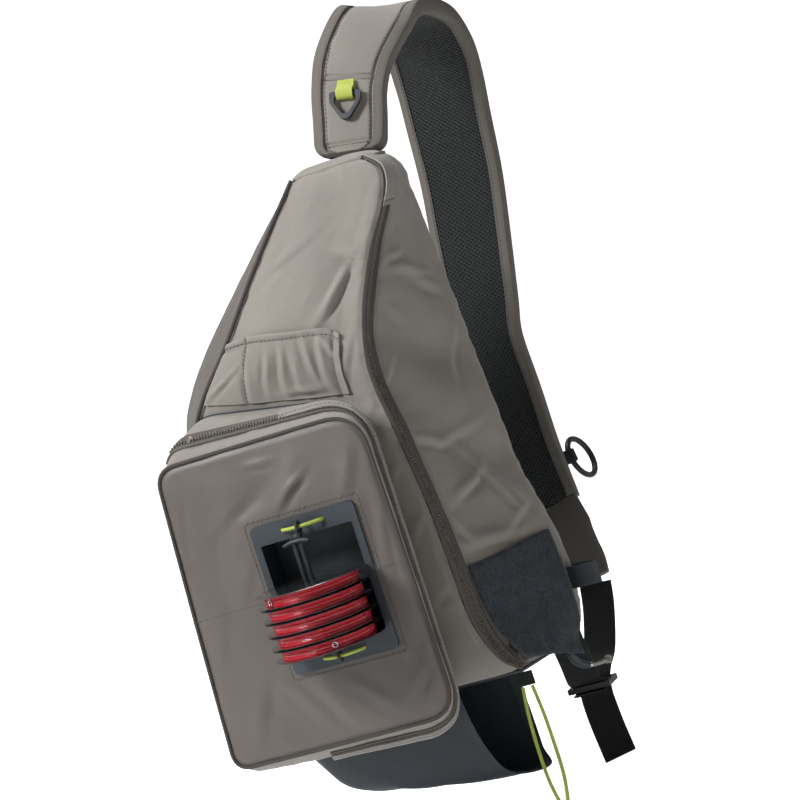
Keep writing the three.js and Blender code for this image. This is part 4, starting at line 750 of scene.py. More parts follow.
def build_back_padding():
    """The padded back: air mesh over foam, pressed in along two channels and across in bands."""
    grid, plan = panel("back", 0.012, 0.988, 0.004, 0.996, 70, 120, puff=0.0, seed=11, creases=0.0)
    from_middle = np.abs(plan[..., 0] - plan[:, -1:, 0] / 2)
    channel = mound(from_middle, BACK_CHANNEL, 5)
    across = mound(plan[..., 1] % BACK_BAND_PITCH, BACK_BAND_PITCH / 2, 4.5)
    grid = grid + FORWARD_WAY * (2.2 * np.maximum(channel, across))[..., None]
    made = Builder()
    made.shell(grid, 4.0, plan)
    made.finish("back_padding", [FINISHES["mesh"]], replaced=("back_panel",), slot="spacer_mesh")


def build_cap(name, node_name, finish, low):
    """The body's top or bottom: a low dome over its outline."""
    around = np.linspace(0, 1, 24, endpoint=False)
    up = np.full(24, 0.0 if low else 1.0)
    loop = np.concatenate([body_point(side, around, up, fine=False)
                           for side in ("front", "right", "back", "left")])
    middle = loop.mean(0)
    rings = []
    for share in np.linspace(0, 1, 14):
        ring = middle + (loop - middle) * (1 - share * 0.995)
        rise = 4.6 * (1 - (1 - min(share * 2.2, 1)) ** 2) + 0.4
        ring[:, 2] = -rise * 0.35 - 0.5 if low else BODY_HEIGHT + rise
        rings.append(ring)
    grid = np.array(rings)
    made = Builder()
    made.shell(grid, -1.6 if low else 1.6, grid[..., :2].copy(), ring=True,
               normals=np.broadcast_to(UP_WAY, grid.shape))
    made.finish(name, [FINISHES[finish]], replaced=(node_name,), slot=f"{finish}_cloth")


def build_left_piping():
    """The bound and stitched seam down the upper front's left edge."""
    up = np.linspace(0.62, 0.998, 120)
    seam = body_point("front", 0 * up, up, fine=False)
    inside = np.stack([0 * up + 10.0, 0 * up - 20.0, seam[:, 2]], 1)
    out = unit(seam - inside)
    made = Builder()
    made.tube(seam + out * 1.4, 1.5, 8)
    add_stitches(made, body_point("front", np.full(120, 0.02), up) + out * 0.2, out, pitch=3.2, mark=1)
    made.finish("left_piping", [FINISHES["piping"], FINISHES["seam"]], replaced=("body_piping",),
                slot="black_trim")


def build_body():
    """The body's panels, caps and piping."""
    for name, side, start, end, columns, finish, node_name, seed in (
        ("front_cloth", "front", 0.004, 0.996, 110, "light", "front_panel", 3),
        ("right_gusset", "right", lambda up: zip_share(up) + 0.006, 0.985, 90, "light", "gusset_right", 5),
        ("left_side", "left", 0.01, 0.99, 60, "dark", "side_panel_left", 7),
    ):
        grid, plan = panel(side, start, end, 0.002, 0.998, columns, 190, seed=seed)
        made = Builder()
        made.shell(grid, CLOTH, plan)
        made.finish(name, [FINISHES[finish]], replaced=(node_name,), slot=f"{finish}_cloth")
    build_back_padding()
    build_cap("top_cap", "top_panel", "light", low=False)
    build_cap("bottom_cap", "bottom_panel", "slate", low=True)
    build_left_piping()


# The slip pocket on the upper front

# The pocket's mouth: along, up.
SLIP_TOP = [(0, 0.741), (0.2, 0.743), (0.6, 0.73), (0.9, 0.716), (1, 0.7)]
SLIP_PLAN_WIDTH = 128.0
# Its wrinkles: right mm, up mm, length, width, height, lean.
SLIP_FOLDS = [
    (56, 20, 13, 2.6, 1.8, -74), (72, 20, 15, 2.8, 2.2, -72), (98, 26, 18, 2.8, 2.4, -62),
    (86, 18, 14, 2.6, 1.5, -66), (112, 20, 20, 2.8, 2.0, -76), (40, 14, 12, 2.6, 1.2, -60),
    (12, 14, 12, 2.6, 1.2, 60), (92, 6, 12, 2.8, 1.4, 6), (118, 34, 10, 2.6, 1.4, -40),
]


def build_slip_pocket():
    """The flat pocket on the upper front with its bound mouth, its stitched lines and its wrinkles."""
    rows, columns = 46, 90
    share = np.linspace(0, 1, columns)[None, :]
    rise = np.linspace(0, 1, rows)[:, None]
    top = read(SLIP_TOP, 1, share)
    low = (POCKET_UP + (0.63 - 0.1 * share) * POCKET_HEIGHT + 4.0) / BODY_HEIGHT
    along = 0.02 + (0.85 - 0.02) * share + 0.025 * (1 - rise) * share
    base, normal, plan = plain_grid("front", along, low + (top - low) * rise)
    u, v = plan[..., 0], plan[..., 1]
    width = u[:, -1:]
    below = (top - low) * BODY_HEIGHT * (1 - rise)
    divide = u - 24 + (v - 20) * 0.28
    lift = 2.5 + 0 * u + mound(below, 1.2, 1.5) - 1.1 * mound(below, 4.6, 1.2)
    lift = lift - 1.4 * mound(width - u, 5.0, 1.3) + 0.8 * mound(width - u, 0, 2.2)
    lift = lift - 1.2 * mound(divide, 0, 1.1)
    for at, at_up, length, wide, high, lean in SLIP_FOLDS:
        lift = lift + high * crease(u - at * width / SLIP_PLAN_WIDTH, v - at_up, length, wide, lean)
    lift = np.maximum(lift + 0.3 * waves(u, v, 21, 26), 0.8)
    outer = base + normal * lift[..., None]
    made = Builder()
    made.shell(outer, 0.7, plan)
    add_stitches(made, outer[-5], normal[-5], pitch=3.2, mark=1)
    on_divide = np.arange(rows), np.argmin(np.abs(divide), axis=1)
    add_stitches(made, outer[on_divide] + normal[on_divide] * 0.5, normal[on_divide], pitch=3.2, mark=1)
    made.finish("slip_pocket_cloth", [FINISHES["light"], FINISHES["seam"]], replaced=("slip_pocket",),
                slot="light_cloth")


# Zips


def add_teeth(builder, path, out, pitch=2.2, half=2.4, mark=0):
    """A coil zip: two rows of short slanting coils that meet along a line."""
    side = unit(np.cross(out, unit(np.gradient(path, axis=0))))
    for way, shift in ((-1, 0.0), (1, pitch / 2)):
        row = path + side * way * half * 0.5
        lengths = distances(row)
        places = np.arange(pitch + shift, lengths[-1] - pitch, pitch)
        at = read_rows(places, lengths, row)
        up = read_rows(places, lengths, out)
        across = read_rows(places, lengths, side)
        along = unit(np.cross(across, up))
        for k in range(len(places)):
            arc = np.linspace(0, math.pi, 5)
            spine = (at[k] + across[k] * np.cos(arc)[:, None] * half * 0.62 * way
                     + up[k] * (np.sin(arc) * 0.9 + 0.1)[:, None] + along[k] * (np.cos(arc) * 0.35)[:, None])
            builder.tube(spine, 0.5, 5, mark=mark, up=along[k])


def build_zip_tape():
    """The curved zip's tape with its ribs, the folded cloth edges beside it and its coil."""
    up = np.linspace(0.004, 0.997, 200)
    columns = np.linspace(0.02, 0.985, 60)
    along = columns[None, :] * zip_share(up)[:, None]
    base, normal, plan = plain_grid("right", along, up[:, None] + 0 * along)
    u = columns[None, :] * ZIP_TAPE
    lift = 0.2 + 0 * u + 1.1 * mound(u, 2.0, 1.5) + 1.1 * mound(u, 12.0, 1.5) - 0.5 * mound(u, 7, 3)
    lift = lift + 0.12 * waves(u, plan[..., 1], 31, 24)
    for rib in (3.6, 4.8, 9.2, 10.4):
        lift = lift + 0.45 * mound(u, rib, 0.36)
    outer = base + normal * lift[..., None]
    made = Builder()
    made.shell(outer, 1.2, plan)
    middle = 29
    add_teeth(made, outer[:, middle] - normal[:, middle] * 0.1, normal[:, middle], pitch=1.9, half=1.7,
              mark=1)
    for column in (9, 50):
        add_stitches(made, outer[:, column], normal[:, column], pitch=3.0, thick=0.6, mark=2)
    made.finish("main_zip", [FINISHES["tape"], FINISHES["teeth"], FINISHES["seam"]],
                replaced=("main_zipper",), slot="dark_cloth")


def build_zip_top_tab():
    """The gathered cloth tab over the zip's top."""
    up = np.linspace(0.9, 0.998, 26)[:, None]
    share = np.linspace(0, 1, 20)[None, :]
    along = 0.02 + (zip_share(up) * 1.35 - 0.02) * share
    base, normal, plan = plain_grid("right", along, up + 0 * share)
    v = plan[..., 1] / plan[-1, 0, 1]
    gather = 0.9 * np.sin(share * 15 + v * 3) * np.clip(v - 0.55, 0, 1)
    lift = 2.2 + gather - 0.9 * mound(v, 0.06, 0.05) + 0.5 * np.sin(v * math.pi)
    outer = base + normal * lift[..., None]
    made = Builder()
    made.shell(outer, 1.0, plan)
    add_stitches(made, outer[2], normal[2], pitch=2.6, thick=0.6, mark=1)
    made.finish("zip_top_tab", [FINISHES["light"], FINISHES["seam"]], replaced=("zipper_tab",),
                slot="light_cloth")


def build_zip_end():
    """The zip's foot, where it turns along the bottom edge."""
    up = np.linspace(0.013, 0.05, 16)[:, None]
    share = np.linspace(0, 1, 50)[None, :]
    start = zip_share(up) + 0.01
    base, normal, plan = plain_grid("right", start + (0.62 - start) * share, up + 0 * share)
    outer = base + normal * 1.9
    made = Builder()
    made.shell(outer, 1.0, plan)
    add_teeth(made, outer[8], normal[8], mark=1)
    made.finish("main_zip_end", [FINISHES["tape"], FINISHES["teeth"]], replaced=("zipper_end",),
                slot="dark_cloth")


def build_main_zip():
    """The long curved zip with both of its ends."""
    build_zip_tape()
    build_zip_top_tab()
    build_zip_end()


# The front pocket

FACE_CORNERS = [(-0.505, -0.5, 0.08), (0.5, -0.5, 0.14), (0.485, 0.5, 0.16), (-0.43, 0.5, 0.09)]
REAR_CORNERS = [(-0.56, -0.555, 0.12), (0.4, -0.6, 0.2), (0.42, 0.53, 0.2), (-0.34, 0.63, 0.13)]
EDGE_STEPS, ROUND_STEPS = 40, 12
SIDE_COLUMNS = EDGE_STEPS + ROUND_STEPS
# The face's dents: across, up, length, width, depth, lean, as shares of the pocket's sizes.
FACE_DENTS = [(-0.1, 0.3, 0.2, 0.05, 0.8, 35), (0.12, 0.36, 0.16, 0.05, -0.5, 60),
              (-0.3, 0.1, 0.3, 0.06, 0.5, 80),
              (-0.2, -0.38, 0.3, 0.06, 0.6, -60), (0.42, 0.2, 0.2, 0.04, 0.5, 85)]
# The face's finer folds: across mm, up mm, length, width, height, lean.
FACE_FOLDS = [(23, 72, 11, 3.0, 1.7, 39), (12, 64, 14, 4.0, 1.2, 46), (3, 92, 9, 3.0, 1.0, 4),
              (-30, 66, 22, 4.5, 0.9, 30),
              (58, 62, 24, 5, 1.3, 70), (-70, 60, 22, 4, 0.8, 78), (-52, -70, 26, 6, 1.3, 72),
              (-16, -72, 20, 5, 1.2, -50),
              (6, -82, 20, 5, 1.2, -56), (34, -80, 18, 5, 1.0, -40), (72, 20, 22, 3.5, 1.0, 86),
              (70, -50, 22, 4, 1.0, 80),
              (-66, -20, 20, 5, 0.7, 70), (-30, 20, 18, 5, 0.7, 60), (64, -78, 16, 4, 1.1, 60)]


def corner_outline(corners, width, height, edge=EDGE_STEPS, turn=ROUND_STEPS):
    """A closed outline with straight edges and rounded corners."""
    place = np.array([(c[0] * width, c[1] * height) for c in corners])
    count = len(corners)

    def toward(i, j):
        return place[i] + unit(place[j] - place[i]) * corners[i][2] * width

    points = []
    for i in range(count):
        after = (i + 1) % count
        start, end = toward(i, after), toward(after, i)
        for s in range(edge):
            points.append(start + (end - start) * s / edge)
        third = toward(after, (after + 1) % count)
        for s in range(turn):
            t = s / turn
            points.append(end * (1 - t) ** 2 + place[after] * 2 * t * (1 - t) + third * t * t)
    return np.array(points)


def on_pocket(flat, y):
    """Places on the pocket from flat ones about its middle, at a depth."""
    return np.stack([POCKET_ACROSS + flat[..., 0], np.broadcast_to(y, flat.shape[:-1]),
                     POCKET_UP + flat[..., 1]], -1)


def face_swell(flat, depth, fine=True):
    """How far the pocket's face stands out, with its dents and folds."""
    swell = POCKET_SWELL * np.sin(np.minimum(depth * 1.2, 1) * math.pi / 2)
    shape = np.sin(math.pi * depth)
    for across, up, length, width, deep, lean in FACE_DENTS:
        right, above = flat[..., 0] - across * POCKET_WIDTH, flat[..., 1] - up * POCKET_HEIGHT
        dent = ridge(right, above, length * POCKET_WIDTH, width * POCKET_WIDTH, lean)
        swell = swell - deep * POCKET_SWELL * dent * shape
    if fine:
        for across, up, length, width, high, lean in FACE_FOLDS:
            fold = crease(flat[..., 0] - across, flat[..., 1] - up, length, width, lean)
            swell = swell + high * fold * np.minimum(1, 5 * depth * (1 - depth) + 0.1)
    return swell


def face_seam(across):
    """How high the level seam across the pocket's face lies."""
    return -2 + 0.015 * across


def gusset_ring(depth):
    """The pocket's side at a depth: 0 at the body, 1 at the face."""
    face = corner_outline(FACE_CORNERS, POCKET_WIDTH, POCKET_HEIGHT)
    rear = corner_outline(REAR_CORNERS, POCKET_WIDTH, POCKET_HEIGHT)
    flat = rear + (face - rear) * depth
    flat = flat * (1 + 0.02 * 4 * depth * (1 - depth))
    return on_pocket(flat, GUSSET_REAR_Y + (GUSSET_FRONT_Y - GUSSET_REAR_Y) * depth)


def gusset_grid(depths):
    """The pocket's side at some depths, and the way out of it."""
    grid = np.stack([gusset_ring(d) for d in depths])
    return grid, grid_normals(grid, ring=True)


WINDOW_SHIFT = np.array([DOCK_X - POCKET_ACROSS, DOCK_Z - POCKET_UP])


def dock_outline(larger, corner):
    """A rounded outline round the dock, larger than it by so much, on the pocket's face."""
    corners = [(x, y, corner) for x, y in ((-0.5, -0.5), (0.5, -0.5), (0.5, 0.5), (-0.5, 0.5))]
    return corner_outline(corners, DOCK_WIDTH + larger, DOCK_HEIGHT + larger) + WINDOW_SHIFT


def build_pocket_side():
    """The pocket's puffed side."""
    depths = np.linspace(0.0, 0.995, 30)
    grid, out = gusset_grid(depths)
    u = np.broadcast_to(distances(grid[15])[None, :], grid.shape[:2])
    v = np.broadcast_to((depths * POCKET_DEPTH)[:, None], grid.shape[:2])
    puff = np.sin(math.pi * depths)[:, None]
    lift = seam_dip(v, 1.0, 2.4) + seam_dip(POCKET_DEPTH - v, 1.6, 2.6) + 0.6 * puff
    lift = lift + 0.5 * waves(u, v * 0.5, 41, 30) * puff
    made = Builder()
    made.shell(grid + out * lift[..., None], CLOTH, np.stack([u, v], -1), ring=True, normals=out)
    made.finish("pocket_side", [FINISHES["light"]], replaced=("pocket_gusset",), slot="light_cloth")


def build_pocket_front(face):
    """The pocket's face from its rim to the dock's window, with its seam and its stitches."""
    window = dock_outline(-8, 0.05)
    shares = np.linspace(0, 1, 60)[:, None, None]
    flat = face[None] + (window - face)[None] * shares
    depth = np.broadcast_to(shares[..., 0], flat.shape[:2])
    rim = np.linalg.norm(flat - face[None], axis=-1)
    line = flat[..., 1] - face_seam(flat[..., 0])
    swell = face_swell(flat, depth) + seam_dip(rim, 1.2, 2.8)
    swell = swell - 0.8 * mound(line, 0, 0.9) + 0.35 * mound(line, 3, 2.0)
    swell = swell + 0.4 * waves(flat[..., 0], flat[..., 1], 51, 60)
    outer = on_pocket(flat, FACE_Y - CLOTH - swell)
    made = Builder()
    plan = flat + np.array([100.0, 120.0])
    made.shell(outer, CLOTH * 0.8, plan, ring=True, normals=np.broadcast_to(FORWARD_WAY, outer.shape))
    tree = surface_of(outer)
    zigzag = on_surface(tree, on_pocket(dock_outline(7, 0.04), -200.0), -FORWARD_WAY)
    zigzag = np.concatenate([zigzag, zigzag[:1]])
    add_stitches(made, zigzag, FORWARD_WAY, pitch=2.0, length=2.6, thick=0.6, mark=1, slant=0.9)
    for low, high in ((-82, -22), (66, 79)):
        x = np.linspace(low, high, 40)
        row = on_surface(tree, on_pocket(np.stack([x, face_seam(x) + 2.6], -1), -200.0), -FORWARD_WAY)
        add_stitches(made, row, FORWARD_WAY, pitch=3.2, mark=1, lift=0.05, thick=0.5)
    made.finish("pocket_front", [FINISHES["face"], FINISHES["seam"]], replaced=("pocket_face",),
                slot="pocket_cloth")


def build_pocket_lining():
    """The flat cloth behind the pocket."""
    rear = corner_outline(REAR_CORNERS, POCKET_WIDTH, POCKET_HEIGHT)
    rings = np.stack([on_pocket(rear * s, -114.0) for s in np.linspace(1, 0.01, 6)])
    made = Builder()
    made.shell(rings, 1.8, rings[..., [0, 2]].copy(), ring=True,
               normals=np.broadcast_to(-FORWARD_WAY, rings.shape))
    made.finish("pocket_lining", [FINISHES["slate"]], replaced=("pocket_back",), slot="slate_cloth")


def build_pocket():
    """The front pocket: puffed side, face with its window, lining and piping."""
    face = corner_outline(FACE_CORNERS, POCKET_WIDTH, POCKET_HEIGHT)
    build_pocket_side()
    build_pocket_front(face)
    build_pocket_lining()
    made = Builder()
    made.tube(on_pocket(face + unit(face - face.mean(0)) * 0.9, FACE_Y - 1.3), 1.3, 8, closed=True)
    made.finish("pocket_rim_piping", [FINISHES["piping"]], replaced=("pocket_piping",), slot="black_trim")


def surface_of(grid):
    """A closed grid as a surface that rays can hit."""
    rows, columns = grid.shape[:2]
    faces = [(i * columns + j, i * columns + (j + 1) % columns, (i + 1) * columns + (j + 1) % columns,
              (i + 1) * columns + j)
             for i in range(rows - 1) for j in range(columns)]
    return BVHTree.FromPolygons([Vector(p) for p in grid.reshape(-1, 3)], faces)


def on_surface(tree, points, way):
    """Points moved along a direction onto a surface; one that misses takes its neighbour's depth."""
    made, last = [], None
    for p in points:
        hit = tree.ray_cast(Vector(p), Vector(way))[0]
        if hit is None and last is not None:
            hit = Vector((p[0], last[1], p[2]))
        if hit is None:
            hit = Vector(tree.find_nearest(Vector(p))[0])
        made.append(tuple(hit))
        last = hit
    return np.array(made)


POCKET_ZIP_START = SIDE_COLUMNS // 3
POCKET_ZIP_END = 3 * SIDE_COLUMNS - 4
POCKET_FLAP_END = 2 * SIDE_COLUMNS + 12


def strip_on_pocket(first, last, low, high, lift, rows):
    """A strip of the pocket's side between two columns and two depths, raised by a lift."""
    depths = np.linspace(low, high, rows)
    grid, out = gusset_grid(depths)
    grid, out = grid[:, first:last + 1], out[:, first:last + 1]
    lengths = distances(grid[rows // 2])
    plan = np.stack(np.broadcast_arrays(lengths[None, :], (depths * POCKET_DEPTH)[:, None]), -1).astype(float)
    return grid + out * (lift + 0 * plan[..., :1]), out, plan


def build_pocket_zip():
    """The pocket's zip round its right and top sides."""
    grid, out, plan = strip_on_pocket(POCKET_ZIP_START, POCKET_ZIP_END, 0.46, 0.727, 1.6, 16)
    v = (plan[..., 1] - plan[0, 0, 1]) / (plan[-1, 0, 1] - plan[0, 0, 1])
    grid = grid + out * (0.5 * mound(v, 0.12, 0.1) + 0.5 * mound(v, 0.88, 0.1))[..., None]
    made = Builder()
    made.shell(grid, 1.1, plan, normals=out)
    add_teeth(made, grid[8], out[8], mark=1)
    made.finish("pocket_zip", [FINISHES["tape"], FINISHES["teeth"]], replaced=("pocket_zipper",),
                slot="dark_cloth")
    build_zip_flap()


def build_zip_flap():
    """The cloth flap over the pocket's zip, which runs out to nothing at the top."""
    grid, out, plan = strip_on_pocket(POCKET_ZIP_START, POCKET_FLAP_END, 0.34, 0.64, 3.4, 18)
    v = (plan[..., 1] - plan[0, 0, 1]) / (plan[-1, 0, 1] - plan[0, 0, 1])
    taper = np.clip((plan[-1, -1, 0] - plan[..., 0]) / 26, 0.0, 1)
    lift = 0.7 * np.sin(math.pi * v) - 1.2 * mound(v, 0, 0.1)
    lift = lift + 0.25 * waves(plan[..., 0], plan[..., 1], 61, 26)
    grid = grid + out * (lift * (0.3 + 0.7 * taper) - 1.1 * (1 - taper) * v)[..., None]
    made = Builder()
    made.shell(grid, 0.9, plan, normals=out)
    add_stitches(made, grid[13], out[13], pitch=3.2, thick=0.55, mark=1)
    made.finish("pocket_zip_flap", [FINISHES["light"], FINISHES["seam"]], replaced=("pocket_flap",),
                slot="light_cloth")


# The dock


DOCK_CORD_TOP = DOCK_Z + DOCK_HEIGHT / 2 - 6.5
DOCK_CORD_FOOT = DOCK_Z - DOCK_HEIGHT / 2 + 6.5
EYE_Y = SPOOL_AXIS_Y + EYE_LEAN
CORD_RADIUS = 1.3
EYE_WIRE = 1.28
EYE_RADIUS = CORD_RADIUS + 0.6 + EYE_WIRE


def build_dock_bar():
    """The bar that the spools turn on: two rods, a crosspiece and an eye at each end for its cord."""
    made = Builder()
    z = np.linspace(DOCK_CORD_FOOT + EYE_RADIUS + 1, DOCK_CORD_TOP - EYE_RADIUS - 1, 40)
    for side in (-1, 1):
        made.tube(np.stack([DOCK_X + side * 2.3 + 0 * z, SPOOL_AXIS_Y + 0 * z, z], 1), 1.6, 12)
    angle = np.linspace(0, 2 * math.pi, 28, endpoint=False)
    for z, way in ((DOCK_CORD_TOP, -1), (DOCK_CORD_FOOT, 1)):
        ring = [DOCK_X + 0 * angle, EYE_Y + EYE_RADIUS * np.cos(angle), z + EYE_RADIUS * np.sin(angle)]
        made.tube(np.stack(ring, 1), EYE_WIRE, 10, closed=True)
        neck = path_points([
            (DOCK_X, SPOOL_AXIS_Y, z + way * (EYE_RADIUS + 4)),
            (DOCK_X, SPOOL_AXIS_Y + 2, z + way * (EYE_RADIUS + 2.4)),
            (DOCK_X, EYE_Y - 2, z + way * (EYE_RADIUS + 1.6)), (DOCK_X, EYE_Y, z + way * (EYE_RADIUS + 0.2)),
        ], 10)
        made.tube(neck, np.linspace(3.4, 2.0, 11), 12, squash=0.8)
    z = DOCK_CORD_TOP - EYE_RADIUS - 5
    places = ((-9.4, -2.2, -1.2), (-5, -1.8, 0), (0, -1.6, 0.4), (5, -1.8, 0), (9.4, -2.2, -1.2))
    cross = path_points([(DOCK_X + x, SPOOL_AXIS_Y + y, z + rise) for x, y, rise in places], 24)
    made.tube(cross, 1.5 * np.sin(np.linspace(0.35, math.pi - 0.35, 25)) ** 0.3, 10)
    made.finish("dock_hooked_bar", [FINISHES["plastic"]], replaced=("dock_bar",), slot="black_plastic")


def build_dock():
    """The spool dock: a soft-edged moulded panel, the bar with its hooks, and the two lime cords."""
    dress("dock_tray", "moulded", 0.0007)
    build_dock_bar()
    hole_y, out_y = PLATE_FRONT_Y + 3.9, PLATE_FRONT_Y - 1
    lean_y = PLATE_FRONT_Y + (EYE_Y - PLATE_FRONT_Y) * 0.55
    half = [(1, hole_y), (1, out_y), (0.75, lean_y), (0.25, EYE_Y)]
    run = [(-x, y) for x, y in half] + half[::-1]
    for name, node_name, z in (("upper_dock_cord", "dock_cord_top", DOCK_CORD_TOP),
                               ("lower_dock_cord", "dock_cord_bottom", DOCK_CORD_FOOT)):
        route = path_points([(DOCK_X + x * 14.5, y, z) for x, y in run], 60)
        made = Builder()
        made.tube(route, 1.25 * (1 + 0.04 * np.sin(np.arange(61) * 2.1)), 12)
        made.finish(name, [FINISHES["lime"]], replaced=(node_name,), slot="lime_cord")


# The spools: how far out and how high each place of a rim's section and of the winding is.
SPOOL_RIM = [
    (5.2, 4.4), (20, 4.4), (24, 4.1), (36.6, 4.25), (37.7, 4.05), (38, 3.85), (37.6, 3.62), (36.4, 3.5),
    (33.2, 3.3), (5.2, 3.3),
]
WINDING_RADIUS = 32.8
WINDING_HALF = 3.1
CORE_RADIUS = 5.3
# Spools with a silver eyelet, and the side that it is on in degrees.
EYELETS = {0: -62, 4: -128}
EYELET_REACH = 33.2
EYELET_RADIUS = 1.7


def turned(builder, middle, profile, mark):
    """A closed section turned round an upright axis."""
    angle = np.linspace(0, 2 * math.pi, 96, endpoint=False)
    circle = np.stack([np.cos(angle), np.sin(angle), 0 * angle], 1)
    grid = np.stack([middle + circle * r + UP_WAY * h for r, h in profile])
    steps = np.arange(len(profile))[:, None] * 2.0
    plan = np.stack(np.broadcast_arrays(angle[None, :] * 30, steps), -1)
    builder.grid(np.concatenate([grid, grid[:1]]), np.concatenate([plan, plan[:1]]), True, mark)


def build_spools():
    """The five line spools: red line wound between clear rims, with a silver eyelet on two of them."""
    for number in range(5):
        node_name = f"spool_{number + 1}"
        low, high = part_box(node_name)
        middle = np.array((low + high) / 2) * 1000 - SHIFT
        made = Builder()
        for way in (-1, 1):
            rim = [(r, way * h) for r, h in SPOOL_RIM]
            turned(made, middle, rim if way > 0 else rim[::-1], 1)
        rng = np.random.default_rng(70 + number)
        wound = []
        for h in np.linspace(-WINDING_HALF, WINDING_HALF, 32):
            layer = 0.07 * math.cos(h * 14.5) - 0.1 * abs(h) + rng.uniform(-0.02, 0.02)
            wound.append((WINDING_RADIUS + layer, h))
        turned(made, middle, [(CORE_RADIUS, -WINDING_HALF), *wound, (CORE_RADIUS, WINDING_HALF)], 0)
        if number in EYELETS:
            side = math.radians(EYELETS[number])
            out = np.array([math.cos(side), math.sin(side), 0])
            across = np.cross(out, UP_WAY)
            around = np.linspace(0, 2 * math.pi, 20, endpoint=False)[:, None]
            ring = across * np.cos(around) * EYELET_RADIUS + UP_WAY * np.sin(around) * EYELET_RADIUS
            made.tube(middle + out * EYELET_REACH - UP_WAY * 0.3 + ring, 0.55, 8, closed=True, mark=2)
        made.finish(f"line_{node_name}", [FINISHES["line"], FINISHES["rim"], FINISHES["silver"]],
                    body=node_name, replaced=(node_name,), slot="red_line", merge=0.001)


# The strap

# The strap's middle and its cross direction: along, across, behind, up, width, turn, fall.
STRAP_ROWS = [
    (0, 0.076, -0.05, 1.017, 0.93, 0, -0.06), (1, 0.09, 0, 1.072, 0.94, 0.02, -0.24),
    (2, 0.106, 0.06, 1.138, 0.96, 0.05, -0.28),
    (3, 0.134, 0.16, 1.2, 1, 0.2, -0.28), (4, 0.19, 0.37, 1.262, 1.05, 0.35, -0.22),
    (5, 0.228, 0.6, 1.24, 1.12, 0.1, -0.14),
    (6, 0.224, 0.76, 1.186, 1.2, -0.1, -0.04), (7, 0.2, 0.88, 1.118, 1.22, -0.12, 0),
    (8, 0.176, 0.94, 1.03, 1.2, -0.12, 0),
    (9, 0.152, 0.98, 0.915, 1.15, -0.06, 0), (10, 0.124, 0.985, 0.8, 1.11, -0.05, 0),
    (11, 0.096, 0.96, 0.66, 1.02, 0, 0),
    (12, 0.08, 0.925, 0.575, 1, 0, 0), (13, 0.096, 0.895, 0.45, 0.94, 0, 0),
    (14, 0.116, 0.84, 0.33, 0.87, 0, 0),
    (15, 0.156, 0.75, 0.215, 0.76, 0.05, -0.05),
]
STRAP_LAST = 15.0
STRAP_CORNER = 9.0
STITCHED_LINES = (2.15, 2.32, 0.22)
D_RING_ALONG = 1.72


def strap_middle(along):
    """The strap's middle line."""
    return np.stack([read(STRAP_ROWS, 1, along) * BODY_WIDTH, read(STRAP_ROWS, 2, along) * STRAP_REACH,
                     read(STRAP_ROWS, 3, along) * BODY_HEIGHT], -1)


def strap_frame(along):
    """The strap's middle, the ways across and out of it and along it, and its width, at places along it."""
    along = np.asarray(along, float)
    corner = STRAP_CORNER
    run = np.minimum(along * 22.0, corner)
    inset = corner - np.sqrt(corner**2 - (corner - run) ** 2)
    forward = unit(strap_middle(np.minimum(along + 0.1, STRAP_LAST))
                   - strap_middle(np.maximum(along - 0.1, 0)))
    across = np.stack([np.ones_like(along), read(STRAP_ROWS, 5, along), read(STRAP_ROWS, 6, along)], -1)
    across = unit(across - forward * (across * forward).sum(-1, keepdims=True))
    out = np.cross(across, forward)
    return strap_middle(along), across, out, forward, read(STRAP_ROWS, 4, along) * STRAP_WIDTH - 1.6 * inset


def strap_grid(along, sides, off):
    """A grid on the strap: places across in shares of the half width, and heights out of its middle."""
    middle, across, out, _, width = strap_frame(along)
    side = (sides * width[:, None] / 2)[..., None]
    return middle[:, None] + across[:, None] * side + out[:, None] * off[..., None]


